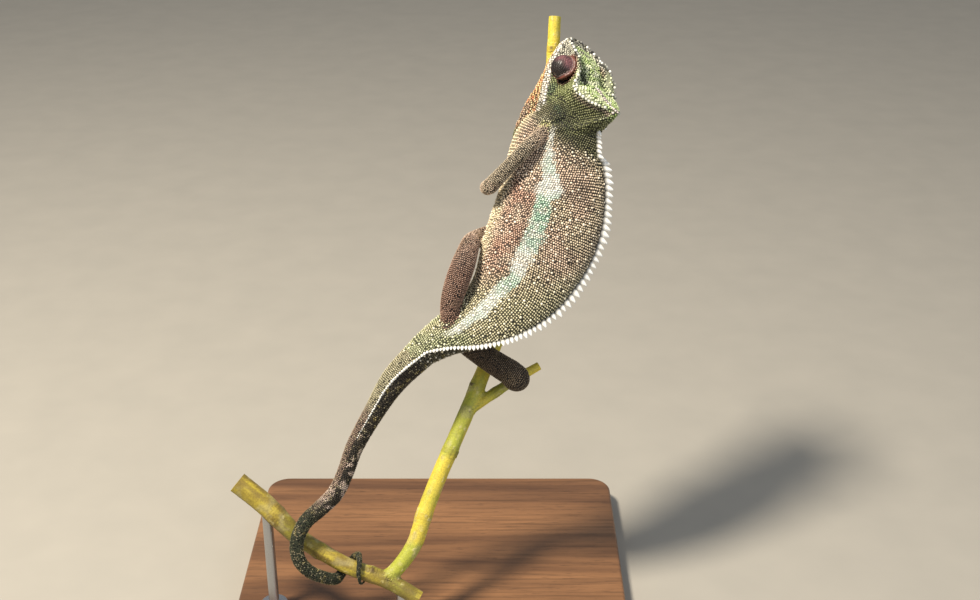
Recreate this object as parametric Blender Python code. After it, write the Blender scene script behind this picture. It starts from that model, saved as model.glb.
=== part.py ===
"""Panther chameleon (Furcifer pardalis, adult male), life size, climbing a forked branch on a display stand.

Lengths inside the tables are millimetres in the animal's own climbing plane:
u runs sideways, v runs up the plane, w runs into the depth behind it.
The plane leans back from upright by LEAN, as the branch does, and place() sets it over the stand.
The head has a frame of its own: x to the snout, y to the animal's left, z to the crown.
"""
import math

import bmesh
import bpy
import numpy as np
from mathutils import Matrix, Vector
from mathutils.bvhtree import BVHTree

MM = 0.001

# ---------------------------------------------------------------- driving sizes (mm, degrees)
LEAN = 25.0                 # how far the branch and the animal lean back from upright
PLANE_SIDE = 35.0           # sideways shift of the climbing plane's origin over the base
PLANE_BACK = -15.0          # front-to-back shift of the same origin
PLANE_HEIGHT = 197.0        # height of the same origin over the table

BASE_SIZE = (234.0, 172.0, 14.0)
BASE_CORNER = 14.0
BASE_EDGE = 2.0
ROD_RADIUS = 3.0
ROD_FOOT_RADIUS = 8.0
ROD_FOOT_HEIGHT = 3.0
GAP = 0.3                   # clearance between pieces that touch

EYE_RADIUS = 7.4
CREST_PITCH = 3.4          # spacing of the dorsal crest's cones
CREST_LENGTH = 4.6
CREST_BASE = 1.6
CREST_FROM = 8.0            # start, where it begins to shrink, and end of the crest along the back
CREST_FADES = 150.0
CREST_TO = 195.0

TOE_PITCH = 2.9             # spacing of the toes along the stem
TOE_ROOT = 18.0             # where a toe leaves the palm, in degrees round the stem
TOE_REACH = 134.0           # how far a toe goes round the stem, in degrees
MIDDLE_TOE_REACH = 148.0
FOOT_GRAIN = 0.55           # grain at which palm, toes and claws are fused
FOOT_FACES = 190            # triangles kept on each foot


# ---------------------------------------------------------------- frames
def place(point):
    """Climbing-plane millimetres to world metres."""
    u, v, w = point
    lean = math.radians(LEAN)
    return Vector((
        (u + PLANE_SIDE) * MM,
        (v * math.sin(lean) + w * math.cos(lean) + PLANE_BACK) * MM,
        (v * math.cos(lean) - w * math.sin(lean) + PLANE_HEIGHT) * MM,
    ))


HEAD_ROLL = 47.0            # crown turned to the side the animal shows
HEAD_YAW = 15.0             # snout turned into the depth
HEAD_SPIN = -2.0            # and turned within the plane
HEAD_AT = (41.5, 104.8, 5.0)


def head_axes():
    roll, yaw, spin = (math.radians(a) for a in (HEAD_ROLL, HEAD_YAW, HEAD_SPIN))
    to_plane = Matrix(((0, 0, 1), (1, 0, 0), (0, -1, 0)))
    turn_roll = Matrix(((1, 0, 0), (0, math.cos(roll), math.sin(roll)), (0, -math.sin(roll), math.cos(roll))))
    turn_yaw = Matrix(((1, 0, 0), (0, math.cos(yaw), -math.sin(yaw)), (0, math.sin(yaw), math.cos(yaw))))
    turn_spin = Matrix(((math.cos(spin), -math.sin(spin), 0), (math.sin(spin), math.cos(spin), 0), (0, 0, 1)))
    return turn_spin @ turn_yaw @ to_plane @ turn_roll


HEAD_TURN = head_axes()


def on_head(x, y, z):
    """Head-frame millimetres to climbing-plane millimetres."""
    return HEAD_TURN @ Vector((x, y, z)) + Vector(HEAD_AT)


# ---------------------------------------------------------------- curves and closed surfaces
def spline(rows, count):
    """Rows of numbers, resampled to count rows evenly along a smooth curve through them."""
    rows = np.array(rows, float)
    ends = np.vstack((2 * rows[0] - rows[1], rows, 2 * rows[-1] - rows[-2]))
    fine = []
    for i in range(1, len(ends) - 2):
        a, b, c, d = ends[i - 1:i + 3]
        for t in np.linspace(0, 1, 24, endpoint=False):
            fine.append(0.5 * (2 * b + (c - a) * t + (2 * a - 5 * b + 4 * c - d) * t ** 2
                               + (3 * b - a - 3 * c + d) * t ** 3))
    fine.append(ends[-2])
    fine = np.array(fine)
    steps = np.linalg.norm(np.diff(fine[:, :3], axis=0), axis=1)
    along = np.concatenate(([0], np.cumsum(steps)))
    wanted = np.linspace(0, along[-1], count)
    return np.column_stack([np.interp(wanted, along, fine[:, k]) for k in range(fine.shape[1])])


def profile(pairs, x):
    """Value at x of a smooth line through (position, value) pairs."""
    pairs = sorted(pairs)
    xs = [p[0] for p in pairs]
    ys = [p[1] for p in pairs]
    slopes = []
    for i in range(len(xs)):
        lo, hi = max(i - 1, 0), min(i + 1, len(xs) - 1)
        slopes.append((ys[hi] - ys[lo]) / (xs[hi] - xs[lo]))
    x = min(max(x, xs[0]), xs[-1])
    i = max(k for k in range(len(xs) - 1) if xs[k] <= x or k == 0)
    h = xs[i + 1] - xs[i]
    t = (x - xs[i]) / h
    return (ys[i] * (2 * t ** 3 - 3 * t ** 2 + 1) + slopes[i] * h * (t ** 3 - 2 * t ** 2 + t)
            + ys[i + 1] * (-2 * t ** 3 + 3 * t ** 2) + slopes[i + 1] * h * (t ** 3 - t ** 2))


def mesh_object(name, verts, faces):
    mesh = bpy.data.meshes.new(name)
    mesh.from_pydata([tuple(v) for v in verts], [], faces)
    bm = bmesh.new()
    bm.from_mesh(mesh)
    bmesh.ops.recalc_face_normals(bm, faces=bm.faces[:])
    if bm.calc_volume(signed=True) < 0:
        bmesh.ops.reverse_faces(bm, faces=bm.faces[:])
    bm.to_mesh(mesh)
    bm.free()
    obj = bpy.data.objects.new(name, mesh)
    bpy.context.scene.collection.objects.link(obj)
    return obj


def loft(name, rings, start=None, end=None):
    """Closed surface through rings of equal size, closed by a point or a flat cap at each end."""
    size = len(rings[0])
    verts = [place(p) for ring in rings for p in ring]
    faces = []
    for r in range(len(rings) - 1):
        for k in range(size):
            a, b = r * size + k, r * size + (k + 1) % size
            faces.append((a, b, b + size, a + size))
    for ring, tip in ((0, start), (len(rings) - 1, end)):
        loop = [ring * size + k for k in range(size)]
        if tip is None:
            faces.append(loop)
        else:
            verts.append(place(tip))
            for k in range(size):
                faces.append((loop[k], loop[(k + 1) % size], len(verts) - 1))
    return mesh_object(name, verts, faces)


def carried_frames(path, first_up):
    """Tangents and up-vectors along a path, turning no more than the path does."""
    tangents = np.gradient(path, axis=0)
    tangents /= np.linalg.norm(tangents, axis=1)[:, None]
    up = np.array(first_up, float)
    ups = []
    for t in tangents:
        up = up - t * np.dot(up, t)
        up /= np.linalg.norm(up)
        ups.append(up.copy())
    return tangents, np.array(ups)


def tube(name, rows, sides, count):
    """Round limb through rows of (u, v, w, radius) with domed ends."""
    line = spline(rows, count)
    tangents, ups = carried_frames(line[:, :3], (0, 0, -1))
    rings = []
    stations = [(0, -0.75, 0.55), (0, -0.35, 0.88)] + [(i, 0, 1) for i in range(count)]
    stations += [(count - 1, 0.35, 0.88), (count - 1, 0.75, 0.55)]
    for i, reach, share in stations:
        centre = line[i, :3] + tangents[i] * reach * line[i, 3]
        side = np.cross(tangents[i], ups[i])
        ring = []
        for k in range(sides):
            a = 2 * math.pi * k / sides
            ring.append(centre + line[i, 3] * share * (ups[i] * math.cos(a) + side * math.sin(a)))
        rings.append(ring)
    first = line[0, :3] - tangents[0] * line[0, 3] * 0.95
    last = line[-1, :3] + tangents[-1] * line[-1, 3] * 0.95
    return loft(name, rings, first, last)


def ball(name, centre, radii, axes=None, steps=12):
    """Ellipsoid about a climbing-plane point; axes gives the directions of its three radii."""
    axes = axes or (Vector((1, 0, 0)), Vector((0, 1, 0)), Vector((0, 0, 1)))
    rings = []
    for i in range(1, steps):
        polar = math.pi * i / steps
        ring = []
        for k in range(steps + 4):
            a = 2 * math.pi * k / (steps + 4)
            spot = (axes[0] * radii[0] * math.sin(polar) * math.cos(a)
                    + axes[1] * radii[1] * math.sin(polar) * math.sin(a)
                    + axes[2] * radii[2] * math.cos(polar))
            ring.append(Vector(centre) + spot)
        rings.append(ring)
    return loft(name, rings, Vector(centre) + axes[2] * radii[2], Vector(centre) - axes[2] * radii[2])


# ---------------------------------------------------------------- trunk and tail
# centre u, v, w, height back to belly, breadth, roll of the back towards the shown side
TRUNK = (
    (48, 112, -5, 30, 20, 40),
    (42.5, 98.5, -2, 45, 23, 27),
    (37.5, 84.5, 0, 53, 28, 13),
    (36, 63, 0, 60, 33, 8),
    (32, 44, 0, 63.5, 35, 7),
    (25.5, 27, 0, 62, 35, 9),
    (16.5, 10, 0, 55.5, 33.5, 15),
    (5.5, -3, 0, 46, 30.5, 26),
    (-8.5, -13, 0, 37.5, 27, 42),
    (-24, -20.5, 0, 28, 23, 60),
    (-37, -28, 0, 20.5, 19, 80),
)
# centre u, v, w, diameter
TAIL = (
    (-54, -45, 0, 16.2),
    (-65.6, -63, 0, 12.6),
    (-76.8, -83, 0, 10.8),
    (-82.3, -98, 0, 10.2),
    (-88.2, -110.3, -0.5, 10.2),
    (-97.2, -119.2, -1, 9.8),
    (-105.2, -126.6, -1.2, 9.2),
    (-109.8, -137, -1.2, 8.7),
    (-109.2, -147.2, -0.5, 8.4),
    (-103.4, -155, 2.0, 8.0),
    (-95, -159.4, 5.6, 7.7),
)
TAIL_ROOT_TWIST = -120.0     # degrees per tail length at which the tail's ridge turns over its root
COIL_TURNS = 1.15           # turns of the tail round the branch after it passes under it
COIL_FROM = -85.0           # where along the branch the tail passes under it
COIL_PITCH = 15.2           # sideways travel over those turns
COIL_SLACK = 1.0            # how far the tail still hangs off the branch where the coil begins
COIL_START_RADIUS = 3.7
TIP_RADIUS = 0.8


def branch_line(count):
    return spline(BRANCH, count)


# the thick cut branch the tail holds: u, v, w, radius
BRANCH = (
    (-145.5, -105, 8, 6.4),
    (-130.7, -117.2, 9.5, 6.2),
    (-119.5, -128.5, 10.3, 5.8),
    (-109.7, -137.6, 10.5, 5.3),
    (-98, -145, 10.5, 4.9),
    (-81.4, -154, 10.5, 4.9),
    (-60.7, -161.4, 10.5, 4.9),
    (-49.6, -167.4, 10.5, 4.8),
    (-41, -172.5, 10.5, 4.6),
)
# the stem rising from it behind the animal
STEM = (
    (-59, -160.5, 10.5, 4.4),
    (-50.5, -151.5, 11.2, 4.6),
    (-43.2, -140, 12.8, 4.9),
    (-37.3, -122, 15.5, 5.0),
    (-29, -101, 18.8, 4.9),
    (-15.5, -70, 23.2, 4.8),
    (-3.8, -42, 26.3, 4.7),
    (8.5, -11, 28.5, 4.5),
    (17, 20, 29.5, 4.4),
    (23, 50, 29.8, 4.3),
    (28.5, 80, 29.8, 4.2),
    (33, 108, 29.3, 4.1),
    (36.5, 136, 28, 3.9),
    (38.3, 167, 26.5, 3.8),
)
# the side twig under the far hind foot
TWIG = (
    (-12.5, -65, 23.6, 3.3),
    (0, -56.5, 25.3, 3.2),
    (15.5, -46.5, 27.5, 3.0),
    (29, -39, 29.5, 2.7),
)


def coil_rows():
    """The tail's end: a narrowing coil round the branch, from under it, behind, over and round again."""
    line = branch_line(200)
    start = int(np.argmin(np.abs(line[:, 0] - COIL_FROM)))
    stop = int(np.argmin(np.abs(line[:, 0] - COIL_FROM - COIL_PITCH)))
    rows = []
    steps = 16
    for i in range(steps + 1):
        t = i / steps
        here = start + (stop - start) * t
        at = line[int(round(here))]
        along = line[int(here) + 3, :3] - line[int(here) - 3, :3]
        along /= np.linalg.norm(along)
        near = np.array((0, 0, -1.0))
        near -= along * np.dot(near, along)
        near /= np.linalg.norm(near)
        below = np.cross(along, near)
        if below[1] > 0:
            below = -below
        angle = math.pi / 2 + 2 * math.pi * COIL_TURNS * t
        thick = COIL_START_RADIUS + (TIP_RADIUS - COIL_START_RADIUS) * t ** 0.85
        slack = COIL_SLACK * (1 - t) ** 2
        reach = at[3] + thick + 1.5 * GAP + slack
        spot = at[:3] + reach * (near * math.cos(angle) + below * math.sin(angle))
        rows.append((*spot, 2 * thick))
    return rows


def trunk_ring(centre, tangent, back, height, breadth, sides, fullness):
    """Section of the trunk: deep, narrow, keeled at the back and fuller low on the flank."""
    side = np.cross(tangent, back)
    ring = []
    for k in range(sides):
        a = 2 * math.pi * k / sides
        rise = math.cos(a)
        spread = math.sin(a) * (1 - fullness * rise) * (1 - 0.12 * max(rise, 0) ** 4)
        ring.append(centre + back * rise * height / 2 + side * spread * breadth / 2)
    return ring


def body_sections(trunk_count, tail_count):
    """Centre, tangent, back direction, height and breadth all along trunk and tail."""
    trunk = spline(TRUNK, trunk_count)
    last = TRUNK[-1]
    tail_rows = [(last[0], last[1], last[2], (last[3] + last[4]) / 2)] + list(TAIL) + coil_rows()
    tail = spline(tail_rows, tail_count)
    centres = np.vstack((trunk[:, :3], tail[1:, :3]))
    tangents = np.gradient(centres, axis=0)
    tangents /= np.linalg.norm(tangents, axis=1)[:, None]
    sections = []
    for i in range(trunk_count):
        t = tangents[i]
        level = np.cross(t, (0, 0, 1.0))
        if level[0] < 0 and i < trunk_count // 2:
            level = -level
        level /= np.linalg.norm(level)
        if sections and np.dot(level, keep) < 0:
            level = -level
        keep = level
        roll = math.radians(trunk[i, 5])
        back = level * math.cos(roll) + np.array((0, 0, -1.0)) * math.sin(roll)
        back -= t * np.dot(back, t)
        back /= np.linalg.norm(back)
        sections.append((centres[i], t, back, trunk[i, 3], trunk[i, 4]))
    for j in range(1, tail_count):
        i = trunk_count - 1 + j
        t = tangents[i]
        back = back - t * np.dot(back, t)
        back /= np.linalg.norm(back)
        if j < tail_count * 0.15:
            extra = math.radians(TAIL_ROOT_TWIST / tail_count)
            back = back * math.cos(extra) + np.cross(t, back) * math.sin(extra)
        share = min(j / (0.11 * tail_count), 1)
        height = tail[j, 3] * (1 + 0.05 * (1 - share))
        sections.append((centres[i], t, back, height, tail[j, 3] * (0.93 + 0.05 * share)))
    return sections


def body_tube(name):
    trunk_count, tail_count = 20, 36
    sections = body_sections(trunk_count, tail_count)
    rings = []
    for i, (centre, tangent, back, height, breadth) in enumerate(sections):
        fullness = 0.2 * min(1, max(0, (1.14 - i / trunk_count) / 0.28))
        rings.append(trunk_ring(centre, tangent, back, height, breadth, 12, fullness))
    first = sections[0]
    last = sections[-1]
    return loft(name, rings, first[0] - first[1] * 6, last[0] + last[1] * last[3] * 0.45)


# ---------------------------------------------------------------- head, by its lines from snout to casque
THROAT = ((47, 4.0), (44, -0.8), (38, -7.0), (30, -9.5), (20, -13.8), (10, -19.5), (0, -23.3),
          (-10, -25.5), (-17, -22.5))
THROAT_BREADTH = ((47, 2), (38, 3.6), (28, 4.6), (15, 5.6), (0, 6.5), (-17, 8))
THROAT_LEAN = 0.36          # how far the throat hangs over to the shown side, per unit of its depth
LIP_HEIGHT = ((47, 5.0), (40, 2.8), (28, 0.2), (14, -1.2), (4, -2.2), (-4, -3), (-17, -3))
LIP_BREADTH = ((47, 2.6), (44, 5.4), (38, 8.2), (30, 10.6), (20, 12.6), (8, 14.0), (0, 14.0), (-6, 12.4),
               (-17, 10))
CHEEK_HEIGHT = ((47, 7), (38, 9), (28, 11), (18, 12), (6, 11), (-4, 12), (-17, 8))
CHEEK_BREADTH = ((47, 2.9), (44, 5.2), (38, 7.0), (31, 7.9), (22, 8.4), (13, 12.0), (5, 14.0), (-4, 12.6),
                 (-17, 9))
CREST_HEIGHT = ((47.5, 9.8), (43, 12.6), (38, 16.0), (32, 20.4), (24, 26.2), (17, 27.6), (11.6, 26.4),
                (7, 25.4), (3, 26.8), (-0.8, 29.6), (-4.4, 33.7), (-10, 40.8), (-13, 27.0), (-17, 13))
CREST_BREADTH = ((47.5, 3.2), (44, 5.9), (38, 9.2), (32, 11.4), (24, 13.5), (17, 14.6), (11.6, 16.1),
                 (7, 17.8), (3, 17.1), (-0.8, 14.9), (-4.4, 10.8), (-10, 2.4), (-13, 6.8), (-17, 7.5))
CROWN_HEIGHT = ((47.5, 9.6), (43, 11.8), (38, 14.6), (32, 18.6), (26, 22.0), (20, 23.8), (16, 24.3),
                (12, 25.6), (8, 28.2), (4, 31.2), (1, 33.4), (-4, 37.2), (-10, 42.6), (-13, 33.0), (-17, 19))
CROWN_FULL = ((47.5, 0.5), (30, 0.5), (20, 0.6), (12, 0.85), (4, 0.95), (-4, 0.95), (-10, 0.6), (-17, 0.5))
SNOUT_X = 46.5
NAPE_X = -16.5


def head_ring(x, sides):
    """Half outline of the head at x from throat to crown, sharp only at the lateral crest, then mirrored."""
    low = [(0, profile(THROAT, x)),
           (profile(THROAT_BREADTH, x), profile(THROAT, x) + 1.6),
           (profile(LIP_BREADTH, x) * 0.93, profile(LIP_HEIGHT, x) - 2.6),
           (profile(LIP_BREADTH, x), profile(LIP_HEIGHT, x) + 0.6),
           (profile(CHEEK_BREADTH, x), profile(CHEEK_HEIGHT, x)),
           (profile(CREST_BREADTH, x) * 0.94, profile(CREST_HEIGHT, x) - 2.4),
           (profile(CREST_BREADTH, x), profile(CREST_HEIGHT, x))]
    crest = low[-1]
    crown = profile(CROWN_HEIGHT, x)
    full = profile(CROWN_FULL, x)
    dip = min(crest[1], crown) - 0.9
    shoulder = crest[1] + (crown - crest[1]) * full - 1.2 * (1 - full) if crown > crest[1] + 3 else dip
    high = [crest, (crest[0] * 0.66, shoulder), (crest[0] * 0.26, crown - 1.6 * (1 - full)), (0, crown)]
    half_low = spline([(y, z, 0) for y, z in low], sides - sides // 3)
    half_high = spline([(y, z, 0) for y, z in high], sides // 3 + 1)[1:]
    half = np.vstack((half_low, half_high))[:, :2]
    ring = [(x, -y, z) for y, z in half]
    ring += [(x, y, z) for y, z in half[-2:0:-1]]
    return [(x, y - THROAT_LEAN * min(z, 0), z) for x, y, z in ring]


def head_shape(name):
    rings = []
    for x in np.linspace(NAPE_X, SNOUT_X, 22):
        rings.append([on_head(*p) for p in head_ring(x, 14)])
    back = on_head(NAPE_X - 1.2, 0, 8)
    front = on_head(SNOUT_X + 0.9, 0, 7)
    return loft(name, rings, back, front)


# ---------------------------------------------------------------- limbs and gripping feet
def path_frame(rows, near):
    """Point, direction and radius of a wooden stem nearest to a point."""
    line = spline(rows, 240)
    i = int(np.argmin(np.linalg.norm(line[:, :3] - np.array(near), axis=1)))
    i = min(max(i, 2), 237)
    along = line[i + 2, :3] - line[i - 2, :3]
    return line[i, :3], along / np.linalg.norm(along), line[i, 3]


def foot(name, stem_rows, near, wrist, toes_round, scale=1.0):
    """Mitten foot: palm on the stem, two opposed bundles of toes round it. Returns its pieces."""
    hub, along, radius = path_frame(stem_rows, near)
    out = np.array(wrist, float) - hub
    out -= along * np.dot(out, along)
    out /= np.linalg.norm(out)
    across = np.cross(along, out)
    pieces = [ball(name + "_palm", hub + out * (radius + 2.9 * scale),
                   (3.0 * scale, 4.9 * scale, 4.3 * scale), (Vector(out), Vector(across), Vector(along)))]
    for way, count in zip((1, -1), toes_round):
        for k in range(count):
            shift = (k - (count - 1) / 2) * TOE_PITCH * scale
            reach = math.radians(MIDDLE_TOE_REACH if count == 3 and k == 1 else TOE_REACH)
            rows = []
            for step in range(7):
                t = step / 6
                angle = way * (math.radians(TOE_ROOT) + (reach - math.radians(TOE_ROOT)) * t)
                thick = (2.0 - 0.55 * t) * scale
                arm = radius + thick + GAP
                round_stem = out * math.cos(angle) + across * math.sin(angle)
                rows.append((*(hub + arm * round_stem + along * shift * (1 - 0.2 * t)), thick))
            pieces.append(tube(f"{name}_toe{way}{k}", rows, sides=8, count=9))
            tip = np.array(rows[-1][:3])
            angle = way * (reach + math.radians(16))
            round_stem = out * math.cos(angle) + across * math.sin(angle)
            claw_to = hub + (radius + 0.9 * scale) * round_stem + along * shift * 0.8
            claw_rows = ((*tip, 0.95 * scale), (*claw_to, 0.5 * scale))
            pieces.append(tube(f"{name}_claw{way}{k}", claw_rows, sides=6, count=3))
    return pieces


# name, rows for the upper and lower piece of each limb (u, v, w, radius), stem held,
# toe bundles (inner, outer)
LIMBS = {
    "fore_left": {
        "upper": ((30, 94, -9, 4.2), (22, 86.5, -15.6, 4.3), (11, 75, -15.6, 4.2), (0.2, 64, -11.5, 4.7)),
        "lower": ((0.2, 64, -11.5, 4.7), (-1.6, 63.8, -3.5, 4.3), (0.5, 66.5, 8, 3.7), (8.5, 72, 19.5, 3.2),
                  (20, 76.5, 23.2, 2.9)),
        "holds": "stem", "near": (28.5, 80, 29.8), "toes": (3, 2)},
    "fore_right": {
        "upper": ((28, 93, 8, 4.6), (36, 85.5, 18, 4.6), (46, 75, 23.5, 4.2), (54, 67, 25.5, 3.9)),
        "lower": ((54, 67, 25.5, 3.9), (57.5, 71, 31.5, 3.7), (54.5, 87, 34, 3.3), (42.6, 102.3, 29.6, 2.9)),
        "holds": "stem", "near": (33, 108, 29.3), "toes": (2, 3)},
    "hind_left": {
        "upper": ((-23, -15, -5, 5.2), (-22.2, -2, -8, 6.0), (-18.9, 9, -9.5, 7.0), (-14.9, 20.5, -8.8, 6.9),
                  (-11.3, 31.5, -3.5, 5.7)),
        "lower": ((-11.3, 31.5, -3.5, 5.7), (-10, 34.8, 5, 4.6), (-4.5, 38.5, 14.5, 3.8), (3.5, 42, 22, 3.3),
                  (13, 45, 24.2, 3.0)),
        "holds": "stem", "near": (22, 48, 29.8), "toes": (2, 3)},
    "hind_right": {
        "upper": ((-22, -18, 5, 6.0), (-12, -26, 9.5, 6.9), (0, -34.5, 9, 7.2), (12, -42, 8, 7.7)),
        "lower": ((12, -42, 8, 7.7), (15, -45, 11, 8.0), (16.2, -46, 15.5, 6.9), (16.2, -46.3, 19, 5.2)),
        "holds": "twig", "near": (15.5, -46.5, 27.5), "toes": (3, 2)},
}


# share of the way along each upper limb where it is parted from the trunk
LIMB_CUTS = {"fore_left": 0.44, "fore_right": 0.46, "hind_left": 0.41, "hind_right": 0.51}
PART_NAMES = {"fore": ("upper_arm", "forearm", "forefoot"), "hind": ("thigh", "shin", "hindfoot")}


def limb_tubes(name):
    limb = LIMBS[name]
    return [tube(f"{name}_{part}", limb[part], sides=9, count=6) for part in ("upper", "lower")]


def limb_foot(name):
    limb = LIMBS[name]
    return foot(name, STEM if limb["holds"] == "stem" else TWIG, limb["near"], limb["lower"][-1][:3],
                limb["toes"], 1.0 if name.startswith("fore") else 1.08)


# ---------------------------------------------------------------- fusing, crest, parting
def settle(obj):
    """Replace an object's mesh by the result of its modifiers."""
    graph = bpy.context.evaluated_depsgraph_get()
    mesh = bpy.data.meshes.new_from_object(obj.evaluated_get(graph))
    obj.modifiers.clear()
    obj.data = mesh
    return obj


def joined(name, pieces):
    bm = bmesh.new()
    for piece in pieces:
        bm.from_mesh(piece.data)
    mesh = bpy.data.meshes.new(name)
    bm.to_mesh(mesh)
    bm.free()
    for piece in pieces:
        bpy.data.objects.remove(piece)
    obj = bpy.data.objects.new(name, mesh)
    bpy.context.scene.collection.objects.link(obj)
    return obj


def fused(name, pieces, grain, faces):
    """One closed surface over overlapping pieces, thinned to about the given number of faces."""
    obj = joined(name, pieces)
    remesh = obj.modifiers.new("fuse", "REMESH")
    remesh.mode = "VOXEL"
    remesh.voxel_size = grain * MM
    remesh.adaptivity = 0
    smooth = obj.modifiers.new("ease", "SMOOTH")
    smooth.factor = 0.5
    smooth.iterations = 2
    settle(obj)
    thin = obj.modifiers.new("thin", "DECIMATE")
    thin.ratio = faces / max(1, 2 * len(obj.data.polygons))
    settle(obj)
    bm = bmesh.new()
    bm.from_mesh(obj.data)
    bmesh.ops.triangulate(bm, faces=bm.faces[:])
    bm.to_mesh(obj.data)
    bm.free()
    return obj


def cut_with(obj, cutter, operation="DIFFERENCE", self_crossing=False):
    boolean = obj.modifiers.new("cut", "BOOLEAN")
    boolean.operation = operation
    boolean.solver = "EXACT"
    boolean.use_self = self_crossing
    boolean.object = cutter
    settle(obj)
    bpy.data.objects.remove(cutter)
    return obj


def crest_cones():
    """Row of small cones along the back, from nape to the tail's root, small at both ends."""
    sections = body_sections(46, 90)
    tops = [(s[0] + s[2] * s[3] / 2, s[1], s[2]) for s in sections]
    points = np.array([t[0] for t in tops])
    along = np.concatenate(([0], np.cumsum(np.linalg.norm(np.diff(points, axis=0), axis=1))))
    cones = []
    s = CREST_FROM
    index = 0
    while s < CREST_TO:
        share = min(1.0, 0.45 + (s - CREST_FROM) / 40)
        if s > CREST_FADES:
            share = max(0.22, 1 - (s - CREST_FADES) / 60)
        top = np.array([np.interp(s, along, points[:, k]) for k in range(3)])
        tangent = np.array([np.interp(s, along, [t[1][k] for t in tops]) for k in range(3)])
        back = np.array([np.interp(s, along, [t[2][k] for t in tops]) for k in range(3)])
        back /= np.linalg.norm(back)
        tangent /= np.linalg.norm(tangent)
        side = np.cross(tangent, back)
        base = top - back * 1.3
        tip = top + back * CREST_LENGTH * share + tangent * 0.9 * share
        width = CREST_BASE * (0.55 + 0.45 * share)
        ring = [base + width * (tangent * math.cos(a) + side * math.sin(a))
                for a in (2 * math.pi * k / 4 for k in range(4))]
        cones.append(cone_mesh(f"cone_{index}", ring, tip))
        s += CREST_PITCH * (0.62 + 0.38 * share)
        index += 1
    return joined("crest", cones)


def cone_mesh(name, ring, tip):
    verts = [place(p) for p in ring] + [place(tip)]
    size = len(ring)
    faces = [tuple(range(size))] + [(k, (k + 1) % size, size) for k in range(size)]
    return mesh_object(name, verts, faces)


def slab(centre, normal, radius, sides=10):
    """Thin disc that parts two pieces of one surface."""
    normal = np.array(normal, float)
    normal /= np.linalg.norm(normal)
    helper = np.array((0, 0, 1.0)) if abs(normal[2]) < 0.8 else np.array((1.0, 0, 0))
    a_dir = np.cross(normal, helper)
    a_dir /= np.linalg.norm(a_dir)
    b_dir = np.cross(normal, a_dir)
    rings = []
    for offset in (-GAP / 2, GAP / 2):
        ring = []
        for k in range(sides):
            a = 2 * math.pi * (k + 0.5) / sides
            ring.append(np.array(centre) + normal * offset
                        + radius * (a_dir * math.cos(a) + b_dir * math.sin(a)))
        rings.append(ring)
    return loft("slab", rings)


# ---------------------------------------------------------------- assembly
def inside(tree, point):
    """True when a point lies inside a closed surface."""
    crossings = 0
    origin = Vector(point)
    direction = Vector((0.312, 0.587, 0.747)).normalized()
    for _ in range(60):
        hit, normal, index, distance = tree.ray_cast(origin, direction)
        if hit is None:
            break
        crossings += 1
        origin = hit + direction * 1e-6
    return crossings % 2 == 1


def parted(obj, anchors):
    """Split a surface into its separate bodies and name each by the anchor point inside it."""
    bm = bmesh.new()
    bm.from_mesh(obj.data)
    bm.verts.ensure_lookup_table()
    seen = set()
    bodies = []
    for vert in bm.verts:
        if vert in seen:
            continue
        stack, group = [vert], set()
        while stack:
            v = stack.pop()
            if v in group:
                continue
            group.add(v)
            stack.extend(e.other_vert(v) for e in v.link_edges if e.other_vert(v) not in group)
        seen |= group
        bodies.append(group)
    result = {}
    for group in bodies:
        index = {v: i for i, v in enumerate(sorted(group, key=lambda v: v.index))}
        faces = [[index[v] for v in f.verts] for f in bm.faces if f.verts[0] in group]
        mesh = bpy.data.meshes.new("body")
        mesh.from_pydata([v.co.copy() for v in index], [], faces)
        piece = bmesh.new()
        piece.from_mesh(mesh)
        volume = piece.calc_volume(signed=True) / MM ** 3
        tree = BVHTree.FromBMesh(piece)
        piece.free()
        name = next((n for n, p in anchors.items() if inside(tree, place(p))), None)
        if name is None:
            print("a crumb of", round(volume, 2), "mm3 is left out")
            continue
        new = bpy.data.objects.new(name, mesh)
        bpy.context.scene.collection.objects.link(new)
        result[name] = new
    bm.free()
    bpy.data.objects.remove(obj)
    return result


def along_limb(rows, share):
    line = spline(rows, 60)
    i = min(max(int(share * 59), 1), 58)
    direction = line[i + 1, :3] - line[i - 1, :3]
    return line[i, :3], direction / np.linalg.norm(direction)


def flat_tube(name, rows, sides, count, grow=0.0, run_out=0.0):
    """Round stem with sawn flat ends; grow thickens it and run_out lengthens it at both ends."""
    line = spline(rows, count)
    tangents, ups = carried_frames(line[:, :3], (0, 0, -1))
    line[0, :3] -= tangents[0] * run_out
    line[-1, :3] += tangents[-1] * run_out
    rings = []
    for i in range(count):
        side = np.cross(tangents[i], ups[i])
        rings.append([line[i, :3] + (line[i, 3] + grow) * (ups[i] * math.cos(2 * math.pi * k / sides)
                                                           + side * math.sin(2 * math.pi * k / sides))
                      for k in range(sides)])
    return loft(name, rings)


def turned(name, x, y, outline, sides=12):
    """Upright turned piece through (radius, height) pairs in world millimetres."""
    verts, faces = [], []
    for radius, height in outline:
        for k in range(sides):
            a = 2 * math.pi * k / sides
            verts.append(((x + radius * math.cos(a)) * MM, (y + radius * math.sin(a)) * MM, height * MM))
    for r in range(len(outline) - 1):
        for k in range(sides):
            a, b = r * sides + k, r * sides + (k + 1) % sides
            faces.append((a, b, b + sides, a + sides))
    faces.append(tuple(range(sides)))
    faces.append(tuple((len(outline) - 1) * sides + k for k in range(sides)))
    return mesh_object(name, verts, faces)


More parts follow.
